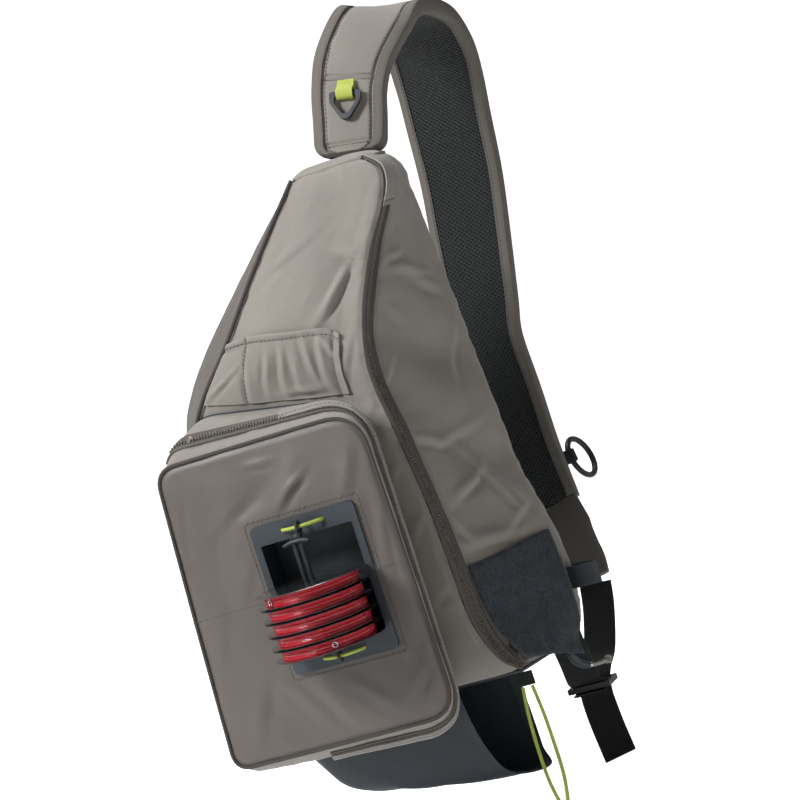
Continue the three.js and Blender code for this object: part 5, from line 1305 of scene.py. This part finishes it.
def build_strap():
    """The padded shoulder strap: cloth face, air mesh, edge bindings and stitching."""
    along = np.linspace(0, STRAP_LAST, 240)
    sides = np.broadcast_to(np.linspace(-1, 1, 41)[None, :], (240, 41))
    middle, across, out, _, width = strap_frame(along)
    lengths = distances(middle)
    side_mm = sides * width[:, None] / 2
    edge = (1 - np.abs(sides)) * width[:, None] / 2
    v = np.broadcast_to(lengths[:, None], sides.shape)
    plan = np.stack([side_mm + 60, v], -1)

    def beside(inset, way, off):
        return middle + across * (way * (width / 2 - inset))[:, None] + out * off

    puff = 4.6 + 0.8 * (1 - np.exp(-np.maximum(edge - 8, 0) / 6)) - 1.6 * mound(edge, 7.5, 1.3)
    puff = puff + 0.25 * waves(side_mm, v, 71, 40)
    for place, depth in ((2.22, 1.5), (0.3, 1.2)):
        puff = puff - depth * mound(v, np.interp(place, along, lengths), 1.3) * (edge > 7)
    made = Builder()
    made.wall(strap_grid(along, sides, puff + 0.9), strap_grid(along, sides, np.full(sides.shape, -2.4)),
              plan)
    for inset in (6.2, 9.2):
        for way in (-1, 1):
            add_stitches(made, beside(inset, way, 5.45), out, pitch=3.2, mark=1, lift=0.1)
    for place in STITCHED_LINES:
        m, a, o, _, w = strap_frame(np.array([place]))
        x = np.linspace(-w[0] / 2 + 9, w[0] / 2 - 9, 30)[:, None]
        add_stitches(made, m + a * x + o * 5.6, o[0], pitch=2.6, mark=1)
    pad = made.finish("strap_face", [FINISHES["light"], FINISHES["seam"]], replaced=("strap_pad",),
                      slot="light_cloth")

    made = Builder()
    inner = -5.5 + 1.3 * np.exp(-edge / 3.0) - 0.5 * (1 - np.exp(-edge / 12))
    made.grid(strap_grid(along, sides, inner), plan, flip=True)
    made.grid(strap_grid(along, sides, np.full(sides.shape, -3.0)), plan)
    made.finish("strap_air_mesh", [FINISHES["mesh"]], replaced=("strap_mesh",), slot="spacer_mesh")

    turn = np.linspace(-0.5 * math.pi, 0.5 * math.pi, 11)
    section = [(6.2, 6.1)] + [(-1.6 * math.cos(a) - 0.2, 6.1 * math.sin(-a)) for a in turn] + [(6.2, -6.4)]
    flat = np.stack(np.broadcast_arrays(np.arange(len(section))[None, :] * 2.0, lengths[:, None]), -1)
    for side, way in (("left", -1), ("right", 1)):
        made = Builder()
        grid = np.stack([beside(inset, way, off) for inset, off in section], 1)
        made.grid(grid, flat, flip=way < 0)
        add_stitches(made, beside(4.8, way, -6.4), -out, pitch=3.2, mark=1)
        made.finish(f"strap_{side}_binding", [FINISHES["binding"], FINISHES["seam"]],
                    replaced=(f"strap_binding_{side}",), slot="dark_cloth")


def ribbon(name, points, width, thick, finish, replaced, slot, steps, turns=(0,), lines=True):
    """A woven tape along a path, its width across the row's X turned a little."""
    path = path_points(points, steps)
    count = len(path)
    width = np.interp(np.linspace(0, 1, count), np.linspace(0, 1, len(width)), width)
    turns = np.interp(np.linspace(0, 1, count), np.linspace(0, 1, len(turns)), turns)
    forward = unit(np.gradient(path, axis=0))
    across = np.stack([np.ones(count), turns, 0 * turns], 1)
    across = unit(across - forward * (across * forward).sum(-1, keepdims=True))
    out = np.cross(across, forward)
    share = np.linspace(-1, 1, 15)
    lengths = distances(path)
    rounding = thick / 2 * (1 - np.abs(share) ** 8 * 0.6)
    grids = []
    for way in (1, -1):
        grids.append(path[:, None] + across[:, None] * (share[None, :] * width[:, None] / 2)[..., None]
                     + out[:, None] * (way * rounding)[None, :, None])
    plan = np.stack(np.broadcast_arrays((share * 20 + 20)[None, :], lengths[:, None]), -1)
    made = Builder()
    made.wall(*grids, plan)
    if lines:
        for side in (-0.8, 0.8):
            for way in (1, -1):
                line = path + across * (side * width / 2)[:, None] + out * way * (thick / 2)
                add_stitches(made, line, out * way, pitch=3.0, mark=1, lift=0.0, thick=0.5)
    return made.finish(name, [FINISHES[finish], FINISHES["seam"]], replaced=replaced, slot=slot)


def placed(rows):
    """Places from shares of the body's width, the strap's reach and the body's height."""
    return [np.array([a * BODY_WIDTH, b * STRAP_REACH, u * BODY_HEIGHT]) for a, b, u in rows]


ADJUSTER = np.array([0.2 * BODY_WIDTH, 0.297 * STRAP_REACH, -0.124 * BODY_HEIGHT])


def build_lower_strap():
    """The strap's folded end, the webbing through the adjuster, its free tail and the anchor."""
    end = [part[0] for part in strap_frame(np.array([STRAP_LAST]))]
    start = end[0] + end[3] * 0.4
    rows = placed([(0.19, 0.7, 0.15), (0.226, 0.65, 0.1), (0.24, 0.61, 0.06)])
    ribbon("strap_folded_end", [start, *rows], [40.5, 40, 30, 25], 6.0, "dark", ("strap_end",), "dark_cloth",
           steps=40, turns=[0.05, 0.15, 0.1, 0.05])
    over, slot_y, bar = 3.2, 5.0, 3.0
    sling = placed([(0.24, 0.603, 0.05), (0.236, 0.55, 0), (0.222, 0.45, -0.07), (0.208, 0.37, -0.1)])
    sling += [ADJUSTER + [0, slot_y + 0.8, 1], ADJUSTER + [0, slot_y - 0.8, -over]]
    sling += placed([(0.202, 0.3, -0.158), (0.216, 0.25, -0.205), (0.236, 0.2, -0.268)])
    ribbon("sling_webbing", sling, [WEBBING], WEBBING_THICK, "black", ("strap_webbing",), "black_trim",
           steps=110, lines=False)
    anchor = placed([(0.226, 0, 0.07), (0.226, 0, 0.03), (0.226, 0.012, 0), (0.216, 0.1, -0.06),
                     (0.205, 0.17, -0.1)])
    for point in anchor[:3]:
        point[1] = max(point[1], 1.2)
    anchor += [ADJUSTER + [0, -slot_y - back, rise] for back, rise in (
        (3.5 + bar, over + 0.6), (0.6, over * 0.6), (0, -over * 0.6), (3.5, -over - 0.4),
        (6.5 + bar, -over - 0.4))]
    ribbon("anchor_tape", anchor, [WEBBING], WEBBING_THICK, "black", ("anchor_webbing",), "black_trim",
           steps=80, lines=False)
    dress("strap_adjuster", "plastic", 0.0009)


# Sleeve, patch and loops

# The sleeve's size from its closed end to its mouth: along, drop, half span, as shares.
SLEEVE_ROWS = [(0, 0.06, 0.55), (0.05, 0.28, 0.72), (0.1, 0.46, 0.84), (0.18, 0.7, 0.93), (0.29, 0.8, 0.98),
               (0.42, 0.86, 1), (0.6, 0.92, 1), (0.8, 0.98, 1), (1, 1, 1)]
# Where the sleeve's mouth ends: around, then across as a share of the body's width.
SLEEVE_MOUTH = [(0, -0.004), (0.2, 0.024), (0.35, 0.05), (0.5, 0.128), (0.7, 0.09), (1, 0.06)]
SLEEVE_TOP = -3.0
# The sleeve's folds: around mm, along mm, length, width, height, lean.
SLEEVE_FOLDS = [
    (60, 60, 30, 7, 1.6, 40), (40, 90, 34, 8, -1.8, 62), (90, 110, 34, 8, 1.5, 30),
    (70, 30, 26, 7, -1.6, -30), (100, 70, 30, 8, 1.4, 70), (30, 40, 20, 6, 1.5, 20),
]


def sleeve_grid(along, around, inset):
    """The sleeve's surface, moved inwards by an inset."""
    mouth = read(SLEEVE_MOUTH, 1, around) * BODY_WIDTH
    half = SLEEVE_SPAN / 2 * read(SLEEVE_ROWS, 2, along) - inset
    drop = np.maximum(SLEEVE_DROP * read(SLEEVE_ROWS, 1, along) - inset, 0.8)
    angle = math.pi * around
    left = -0.56 * BODY_WIDTH + inset * np.sin(angle)
    middle_y = -BODY_DEPTH * 0.796 * 0.51
    turn = np.sign(np.cos(angle)) * np.abs(np.cos(angle)) ** 0.8
    return np.stack(np.broadcast_arrays(left + (mouth - left) * along, middle_y - half * turn,
                                        SLEEVE_TOP - drop * np.sin(angle) ** 0.75), -1)


def build_sleeve():
    """The open sleeve under the body, with a bound and stitched mouth."""
    along = np.linspace(0, 1, 90)[:, None]
    around = np.linspace(0, 1, 80)[None, :]
    outer = sleeve_grid(along, around + 0 * along, 0.0)
    inner = sleeve_grid(along, around + 0 * along, SLEEVE_CLOTH)
    out = unit(outer - inner + 1e-6)
    plan = plan_of(outer)
    u, v = plan[..., 0], plan[..., 1]
    fold = 0.0 * u
    for a, b, length, width, high, lean in SLEEVE_FOLDS:
        fold = fold + high * ridge(u - a, v - b, length, width, lean)
    side = np.sin(math.pi * around) * np.sin(math.pi * np.clip(along * 1.05, 0, 1)) ** 0.5
    mouth = (1 - along) * plan[-1, 40, 1]
    lift = (fold + 0.5 * waves(u, v, 81, 60)) * side
    lift = lift + 0.55 * mound(mouth, 1.4, 1.6) - 0.5 * mound(mouth, 7.5, 0.9) - 0.7
    cloth = outer + out * lift[..., None]
    made = Builder()
    made.shell(cloth, 1.2, plan, normals=out)
    hem_row = 85
    add_stitches(made, cloth[hem_row], out[hem_row], pitch=3.2, mark=1)
    made.finish("sleeve_cloth", [FINISHES["slate"], FINISHES["seam"]], replaced=("bottle_sleeve",),
                slot="slate_cloth")


def build_patch():
    """The drying patch of short fleece on the lower right side, with its pile."""
    share = np.linspace(0, 1, 70)[None, :]
    fall = np.linspace(1, 0, 80)[:, None]
    z = 0.219 * BODY_HEIGHT - fall * (PATCH_HEIGHT + PATCH_SLANT * share)
    along = 0.125 + (0.88 - 0.09 * fall**2 - 0.125) * share
    base = body_point("right", along + 0 * z, np.maximum(z, 0) / BODY_HEIGHT, fine=False)
    normal = grid_normals(body_point("right", along + 0 * z, 0.03 + 0.2 * (1 - fall) + 0 * share, fine=False))
    grid = base + normal * (3.9 + PATCH_HANG * fall * fall + 0 * share)[..., None]
    grid[..., 2] = z
    plan = np.stack(np.broadcast_arrays(share * PATCH_WIDTH, (1 - fall) * PATCH_LENGTH), -1)
    u, v = plan[..., 0], plan[..., 1]
    edge = np.minimum(np.minimum(u, PATCH_WIDTH - u), np.minimum(v, PATCH_LENGTH - v))
    lift = -1.3 * mound(edge, 0, 1.4) + 0.5 * waves(u, v, 91, 30) + 0.22 * waves(u, v, 92, 2.4, 2)
    for across, up, length, width, high, lean in ((34, 8, 16, 7, -2.6, 70), (24, 10, 16, 6, 1.4, 80),
                                                  (46, 12, 18, 6, 1.2, 70)):
        lift = lift + high * ridge(u - across, v - up, length, width, lean)
    cloth = grid + normal * lift[..., None]
    made = Builder()
    made.shell(cloth, 2.6, plan, normals=normal)
    patch = made.finish("fleece_patch", [FINISHES["fleece"]], replaced=("fly_patch",), slot="fleece", merge=0)
    pile = Builder()
    hairs(pile, cloth, normal)
    fibres = pile.finish("fleece_fibres", [FINISHES["fleece"]], slot="fleece", merge=0)


def hairs(builder, grid, normal, count=9000, length=1.5, seed=95):
    """Short curled fibres that stand on the fleece."""
    rng = np.random.default_rng(seed)
    rows, columns = grid.shape[:2]
    i, j = rng.integers(0, rows - 1, count), rng.integers(0, columns - 1, count)
    a, b = rng.uniform(0, 1, (2, count))[..., None]
    root = grid[i, j] + (grid[i + 1, j] - grid[i, j]) * a + (grid[i, j + 1] - grid[i, j]) * b
    up = normal[i, j]
    lean = unit(rng.normal(0, 1, (count, 3)))
    side = unit(np.cross(up, lean)) * 0.14
    tip = root + up * length * rng.uniform(0.5, 1, (count, 1)) + lean * 0.7
    points = np.stack([root - side - up * 0.2, root + side - up * 0.2, tip], 1)
    faces = [(3 * k, 3 * k + 1, 3 * k + 2) for k in range(count)]
    builder.add(points, faces)


def fold_round(radius, length, back):
    """A tape's route round a ring's bar and back to the cloth: forward, out."""
    return [(length, -back), (radius, -back), (-radius * 0.75, -radius * 0.75), (-radius, 0),
            (-radius * 0.7, radius * 0.7), (radius * 0.4, radius), (length * 0.55, -back + 2.8),
            (length, -back + 1.6)]


# The D-ring: half the bar's width across its corners, and the tab's thickness with its gap.
D_RING_BAR = math.hypot(3.4, 3.4) / 2
TAB_STAND = 0.4 + 0.6
# The round ring: the radius of its middle line and of its section.
ROUND_RING_RADIUS = 15.7
ROUND_RING_WIRE = 2.25


def build_rings():
    """The D-ring in its lime tab on the strap's front, and the round ring at the strap's edge."""
    dress("d_ring", "metal", 0.0009)
    middle, across, out, forward, _ = (part[0] for part in strap_frame(np.array([D_RING_ALONG])))
    radius = D_RING_BAR + TAB_STAND
    stand = STRAP_THICK / 2 + TAB_STAND + radius
    points = [middle + forward * a + out * (stand + b) for a, b in fold_round(radius, 11, radius)]
    tape_on(points, across, 12.2, 1.2, "d_ring_tape", "lime", ("d_ring_tab",), "lime_cord")

    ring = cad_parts["net_ring"]
    places = np.array([v.co for v in ring.data.vertices]) * 1000 - SHIFT
    centre = places.mean(0)
    axis = np.linalg.svd(places - centre, full_matrices=False)[2][2]
    first = unit(np.cross(axis, UP_WAY))
    second = np.cross(axis, first)
    angle = np.linspace(0, 2 * math.pi, 72, endpoint=False)[:, None]
    loop = centre + (first * np.cos(angle) + second * np.sin(angle)) * ROUND_RING_RADIUS
    made = Builder()
    made.tube(loop, ROUND_RING_WIRE, 14, closed=True)
    made.finish("round_ring", [FINISHES["plastic"]], replaced=("net_ring",), slot="black_plastic")
    dress("net_ring_tab", "black", 0)


def tape_on(points, across, width, thick, name, finish, replaced, slot):
    """A tape that follows a few points, its width along one fixed way."""
    path = path_points(points, 60)
    forward = unit(np.gradient(path, axis=0))
    out = unit(np.cross(np.broadcast_to(across, path.shape), forward))
    share = np.linspace(-1, 1, 13)
    made = Builder()
    lengths = distances(path)
    plan = np.stack(np.broadcast_arrays((share * width / 2 + 20)[None, :], lengths[:, None]), -1)
    outer = path[:, None] + across * (share * width / 2)[None, :, None] + out[:, None] * thick / 2
    made.shell(outer, thick, plan, normals=np.broadcast_to(out[:, None], outer.shape))
    made.finish(name, [FINISHES[finish]], replaced=replaced, slot=slot)


def build_tool_loop():
    """The slate webbing loop for a tool behind the patch."""
    def foot(along, off):
        a, b = body_point("right", np.array([along, along + 0.01]), 0.115, fine=False)
        return a + unit(np.cross(b - a, UP_WAY)) * off

    points = [foot(0.915, 0.8), foot(0.905, 9.9), foot(0.935, 22), foot(0.965, 21.56), foot(0.985, 11),
              foot(0.98, 0.8)]
    tape_on(points, UP_WAY, 16, 1.2, "tool_loop_tape", "slate", ("tool_loop",), "slate_cloth")


# Pulls and bungee


def knot_points(centre, way, size):
    """A small overhand knot as a closed run of points round a place."""
    way = unit(np.asarray(way, float))
    side = unit(np.cross(way, [0.3, 0.2, 1.0]))
    up = np.cross(way, side)
    t = np.linspace(0, 2 * math.pi, 60)
    x = np.sin(t) + 2 * np.sin(2 * t)
    y = np.cos(t) - 2 * np.cos(2 * t)
    z = -np.sin(3 * t)
    scale = size / 3.6
    return centre + side * (x * scale)[:, None] + up * (y * scale)[:, None] + way * (z * scale * 1.2)[:, None]


PULL_CORD = 1.5
PULL_GRIP = 2.7


def build_pull(prefix, slider_node, points):
    """A zip pull: cord through a moulded tube, with a tied end, hung from a metal slider."""
    path = path_points(points, 48)
    made = Builder()
    made.tube(path, PULL_CORD * (1 + 0.05 * np.sin(np.arange(49) * 1.9)), 10)
    way = path[-1] - path[-4]
    end = unit(way)
    made.tube(knot_points(path[-1] - end, way, 3.0), 1.15, 8, closed=True)
    for tail in (end * 2.2 + np.array([0, 0, 1.6]), end * 2.4 - np.array([0, 0.6, 1.4])):
        made.tube(path[-1] + tail * np.linspace(0.2, 1.0, 5)[:, None], 1.0, 8)
    made.finish(f"{prefix}_pull_cord", [FINISHES["cord"]], replaced=(f"{prefix}_pull",), slot="pull_cord")
    grip = Builder()
    grip.tube(path[15:34], PULL_GRIP + 0.25 * np.sin(np.linspace(0, math.pi, 19)), 14)
    grip.tube(path[33:36], 2.1, 12, mark=1)
    grip.finish(f"{prefix}_pull_grip", [FINISHES["moulded"], FINISHES["silver"]],
                replaced=(f"{prefix}_pull_tube",), slot="moulded_slate")
    dress(slider_node, "metal", 0.0011)


def build_pulls():
    """Both zip pulls, each from its slider's place."""
    def middle_of(node_name):
        low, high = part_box(node_name)
        return np.array((low + high) / 2) * 1000 - SHIFT

    start = middle_of("pocket_slider")
    column = 2 * SIDE_COLUMNS + SIDE_COLUMNS // 3
    grid, out = gusset_grid(np.array([0.55, 0.59, 0.63]))
    along = unit(grid[1, column + 2] - grid[1, column])
    points = [start + along * (5.9 + s) + unit(out[1, column]) * h
              for s, h in ((0, 0), (10, 2.5), (26, 3.5), (43, 4.5))]
    build_pull("pocket", "pocket_slider", points)

    a, b = body_point("right", np.array([0.57, 0.62]), 0.031, fine=False)
    first = middle_of("main_slider") + unit(b - a) * 7.4
    points = [first + np.array(p)
              for p in ((0, 0, 0), (-1, 3, -9), (0, 11, -24), (7, 22, -31), (17, 32, -32))]
    build_pull("main", "main_slider", points)


def bungee_route():
    """The free elastic's places: out of its tab, down, round and back."""
    x, y, top = 0.184 * BODY_WIDTH, -0.69 * BODY_DEPTH, -2.8
    start = top - 10 - 0.4
    places = [(-3.5, 0, 0), (-6, -1, 0.3), (-5.5, -2, 0.75), (0, -2, 1), (5.5, -1, 0.75), (5.5, 0, 0.3),
              (3.5, 0, 0)]
    return [np.array([x + a, y + b, start - d * BUNGEE_DROP]) for a, b, d in places]


def build_bungee():
    """The lime elastic loop and the folded tab that holds it."""
    path = path_points(bungee_route(), 110)
    made = Builder()
    made.tube(path, BUNGEE / 2, 10)
    cord = made.finish("lime_elastic", [FINISHES["lime"]], replaced=("bungee_loop",), slot="lime_cord")
    low, high = (np.array(corner) * 1000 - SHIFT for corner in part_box("bungee_tab"))
    centre = (low + high) / 2
    z = np.linspace(high[2], low[2] + 0.4, 20)
    thick = 1.2 + 0.45 * mound(z, low[2] + 2.4, 2.4)
    angle = np.linspace(0, 2 * math.pi, 28, endpoint=False)
    wide_way = np.sign(np.cos(angle)) * np.abs(np.cos(angle)) ** 0.35
    thick_way = np.sign(np.sin(angle)) * np.abs(np.sin(angle)) ** 0.5
    grid = [np.stack([centre[0] + wide_way * 6.4, centre[1] + thick_way * t, 0 * angle + h], 1)
            for t, h in zip(thick, z)]
    top, foot = (np.broadcast_to([centre[0], centre[1], h], (28, 3)) for h in (z[0], z[-1] - 0.3))
    grid = np.stack([top, *grid, foot])
    made = Builder()
    made.grid(grid, grid[..., [0, 2]].copy(), True, flip=True)
    made.finish("elastic_tab", [FINISHES["black"]], replaced=("bungee_tab",), slot="black_trim")


# Stage


AIM = Vector((-0.0427, -0.1139, -0.2615))
CAMERA_DISTANCE = 2.0
CAMERA_LENS = 127.8
CAMERA_AZIMUTH, CAMERA_ELEVATION, CAMERA_ROLL = (math.radians(v) for v in (20, 3, 18))
# Lights: name, place, size, share of the key light's strength.
LIGHTS = [
    ("key_light", (-1.1, -1.7, 1.2), 0.8, 1.3),
    ("fill_light", (2.2, -1.6, 0.3), 1.6, 0.04),
    ("top_light", (-0.4, 0.5, 2.2), 1.0, 0.75),
]
WORLD_STRENGTH = 0.13
FLOOR_GAP = 0.002
FLOOR_HALF_WIDTH = 6.0
FLOOR_FRONT = -4.0
FLOOR_BACK = 3.2
WALL_BEND = 1.5
WALL_HEIGHT = 8.0
FLOOR_GLOW = 0.9


def build_floor():
    """A pale floor that bends up into a wall; it glows to the camera alone, so it stays white."""
    floor_z = CAD_BOX[0][2] - FLOOR_GAP
    rows = []
    for t in np.linspace(0, 1, 40):
        if t < 0.5:
            rows.append((FLOOR_FRONT + 2 * t * (FLOOR_BACK - FLOOR_FRONT), floor_z))
        else:
            turn = (t - 0.5) * math.pi
            rows.append((FLOOR_BACK + WALL_BEND * math.sin(turn), floor_z + WALL_BEND * (1 - math.cos(turn))))
    rows.append((FLOOR_BACK + WALL_BEND, WALL_HEIGHT))
    points = [(x, y, z) for y, z in rows for x in (-FLOOR_HALF_WIDTH, FLOOR_HALF_WIDTH)]
    mesh = bpy.data.meshes.new("floor")
    mesh.from_pydata(points, [], [(2 * i, 2 * i + 1, 2 * i + 3, 2 * i + 2) for i in range(len(rows) - 1)])
    floor = bpy.data.objects.new("floor", mesh)
    bpy.context.scene.collection.objects.link(floor)
    material = bpy.data.materials.new("pale_floor")
    material.use_nodes = True
    tree = material.node_tree
    shader = tree.nodes["Principled BSDF"]
    shader.inputs["Base Color"].default_value = (0.95, 0.95, 0.95, 1)
    shader.inputs["Emission Color"].default_value = (1, 1, 1, 1)
    shader.inputs["Roughness"].default_value = 0.9
    shader.inputs["Specular IOR Level"].default_value = 0.1
    seen = node(tree, "ShaderNodeLightPath")
    glow = math_node(tree, "MULTIPLY", seen.outputs["Is Camera Ray"], FLOOR_GLOW)
    tree.links.new(glow, shader.inputs["Emission Strength"])
    mesh.materials.append(material)


def build_lights():
    """The soft lights and the pale surroundings."""
    scene = bpy.context.scene
    world = bpy.data.worlds.new("studio")
    scene.world = world
    world.use_nodes = True
    sky = world.node_tree.nodes["Background"]
    sky.inputs["Color"].default_value = (1, 1, 1, 1)
    sky.inputs["Strength"].default_value = WORLD_STRENGTH
    scene.view_settings.view_transform = "Standard"
    for name, place, size, share in LIGHTS:
        lamp = bpy.data.lights.new(name, "AREA")
        lamp.shape = "DISK"
        lamp.size = size
        lamp.energy = scene.sling_stage.key * share
        thing = bpy.data.objects.new(name, lamp)
        thing.location = place
        thing.rotation_euler = (AIM - Vector(place)).to_track_quat("-Z", "Y").to_euler()
        scene.collection.objects.link(thing)


def build_camera():
    """The camera at the photograph's angle and roll."""
    level = math.cos(CAMERA_ELEVATION)
    back = Vector((math.sin(CAMERA_AZIMUTH) * level, -math.cos(CAMERA_AZIMUTH) * level,
                   math.sin(CAMERA_ELEVATION)))
    right = Vector((math.cos(CAMERA_AZIMUTH), math.sin(CAMERA_AZIMUTH), 0))
    up = back.cross(right)
    x = right * math.cos(CAMERA_ROLL) - up * math.sin(CAMERA_ROLL)
    y = right * math.sin(CAMERA_ROLL) + up * math.cos(CAMERA_ROLL)
    lens = bpy.data.cameras.new("camera")
    lens.lens = CAMERA_LENS
    lens.sensor_width = 36
    lens.clip_start = 0.05
    lens.clip_end = 50
    camera = bpy.data.objects.new("camera", lens)
    turn = Matrix((x, y, back)).transposed().to_4x4()
    camera.matrix_world = Matrix.Translation(AIM + back * CAMERA_DISTANCE) @ turn
    bpy.context.scene.collection.objects.link(camera)
    bpy.context.scene.camera = camera


def build_stage():
    """The floor, the lights and the camera."""
    build_floor()
    build_lights()
    build_camera()


# The add-on's settings, operators and panel


def colour_setting(name, words, value):
    """A colour that the panel offers."""
    return bpy.props.FloatVectorProperty(name=name, description=words, default=value, size=3, min=0.0,
                                         max=1.0, subtype="COLOR")


class SlingColours(bpy.types.PropertyGroup):
    """The colours of the bag's finishes."""
    light: colour_setting("Light cloth", "Main shell cloth of the bag", (0.262, 0.24, 0.215))
    dark: colour_setting("Dark cloth", "Left side, zip tape and the strap's end", (0.118, 0.105, 0.094))
    face: colour_setting("Pocket face", "Coated cloth of the front pocket", (0.118, 0.103, 0.093))
    slate: colour_setting("Slate", "Sleeve, dock and loop", (0.036, 0.046, 0.056))
    lime: colour_setting("Lime", "Cords and tab", (0.43, 0.5, 0.09))
    line: colour_setting("Line", "Line wound on the spools", (0.62, 0.012, 0.03))


class SlingStage(bpy.types.PropertyGroup):
    """The stage's light."""
    key: bpy.props.FloatProperty(name="Key light", description="Strength of the main light", default=44.0,
                                 min=0.0, unit="POWER")


def piece_operator(key, label, words, build):
    """An operator class that builds one piece or group of like pieces."""
    def execute(self, context):
        build()
        return {"FINISHED"}
    return type(f"SLING_OT_{key}", (bpy.types.Operator,), {
        "bl_idname": f"sling.{key}", "bl_label": label, "__doc__": words, "execute": execute})


def mix_finishes():
    """Every finish, in the panel's colours."""
    make_finishes(bpy.context.scene.sling_colours)


STEPS = [
    ("finishes", "Finishes", "Make every finish of the bag", mix_finishes),
    ("stage", "Stage", "Make the floor, the lights and the camera", build_stage),
    ("bungee", "Elastic loop", "Make the lime elastic and its tab", build_bungee),
    ("body", "Body", "Make the body's panels, caps and piping", build_body),
    ("slip_pocket", "Slip pocket", "Make the flat pocket on the upper front", build_slip_pocket),
    ("main_zip", "Main zip", "Make the long curved zip and its ends", build_main_zip),
    ("pocket", "Front pocket", "Make the front pocket's side, face and piping", build_pocket),
    ("pocket_zip", "Pocket zip", "Make the pocket's zip and flap", build_pocket_zip),
    ("dock", "Dock", "Make the spool dock, its bar and cords", build_dock),
    ("spools", "Spools", "Make the five line spools", build_spools),
    ("strap", "Strap", "Make the padded shoulder strap", build_strap),
    ("lower_strap", "Lower strap", "Make the strap's end and the webbing", build_lower_strap),
    ("sleeve", "Sleeve", "Make the open sleeve under the body", build_sleeve),
    ("patch", "Drying patch", "Make the fleece patch", build_patch),
    ("rings", "Rings", "Make the two rings and their tabs", build_rings),
    ("tool_loop", "Tool loop", "Make the webbing loop", build_tool_loop),
    ("pulls", "Zip pulls", "Make both zip pulls", build_pulls),
]
OPERATORS = [piece_operator(*step) for step in STEPS]


class SLING_PT_panel(bpy.types.Panel):
    """Lists the bag's settings and its building steps."""
    bl_label = "Sling Bag"
    bl_idname = "SLING_PT_panel"
    bl_space_type = "VIEW_3D"
    bl_region_type = "UI"
    bl_category = "Sling Bag"

    def draw(self, context):
        for name in SlingColours.__annotations__:
            self.layout.prop(context.scene.sling_colours, name)
        self.layout.prop(context.scene.sling_stage, "key")
        for step in STEPS:
            self.layout.operator(f"sling.{step[0]}", text=step[1])


CLASSES = [SlingColours, SlingStage, *OPERATORS, SLING_PT_panel]


def register():
    """Adds the settings, the operators and the panel."""
    for cls in CLASSES:
        bpy.utils.register_class(cls)
    bpy.types.Scene.sling_colours = bpy.props.PointerProperty(type=SlingColours)
    bpy.types.Scene.sling_stage = bpy.props.PointerProperty(type=SlingStage)


def unregister():
    """Takes them away again."""
    del bpy.types.Scene.sling_stage
    del bpy.types.Scene.sling_colours
    for cls in reversed(CLASSES):
        bpy.utils.unregister_class(cls)


def main():
    """Registers the add-on, runs its steps in order and notes both sizes."""
    register()
    for step in STEPS:
        getattr(bpy.ops.sling, step[0])()


if __name__ == "__main__":
    main()
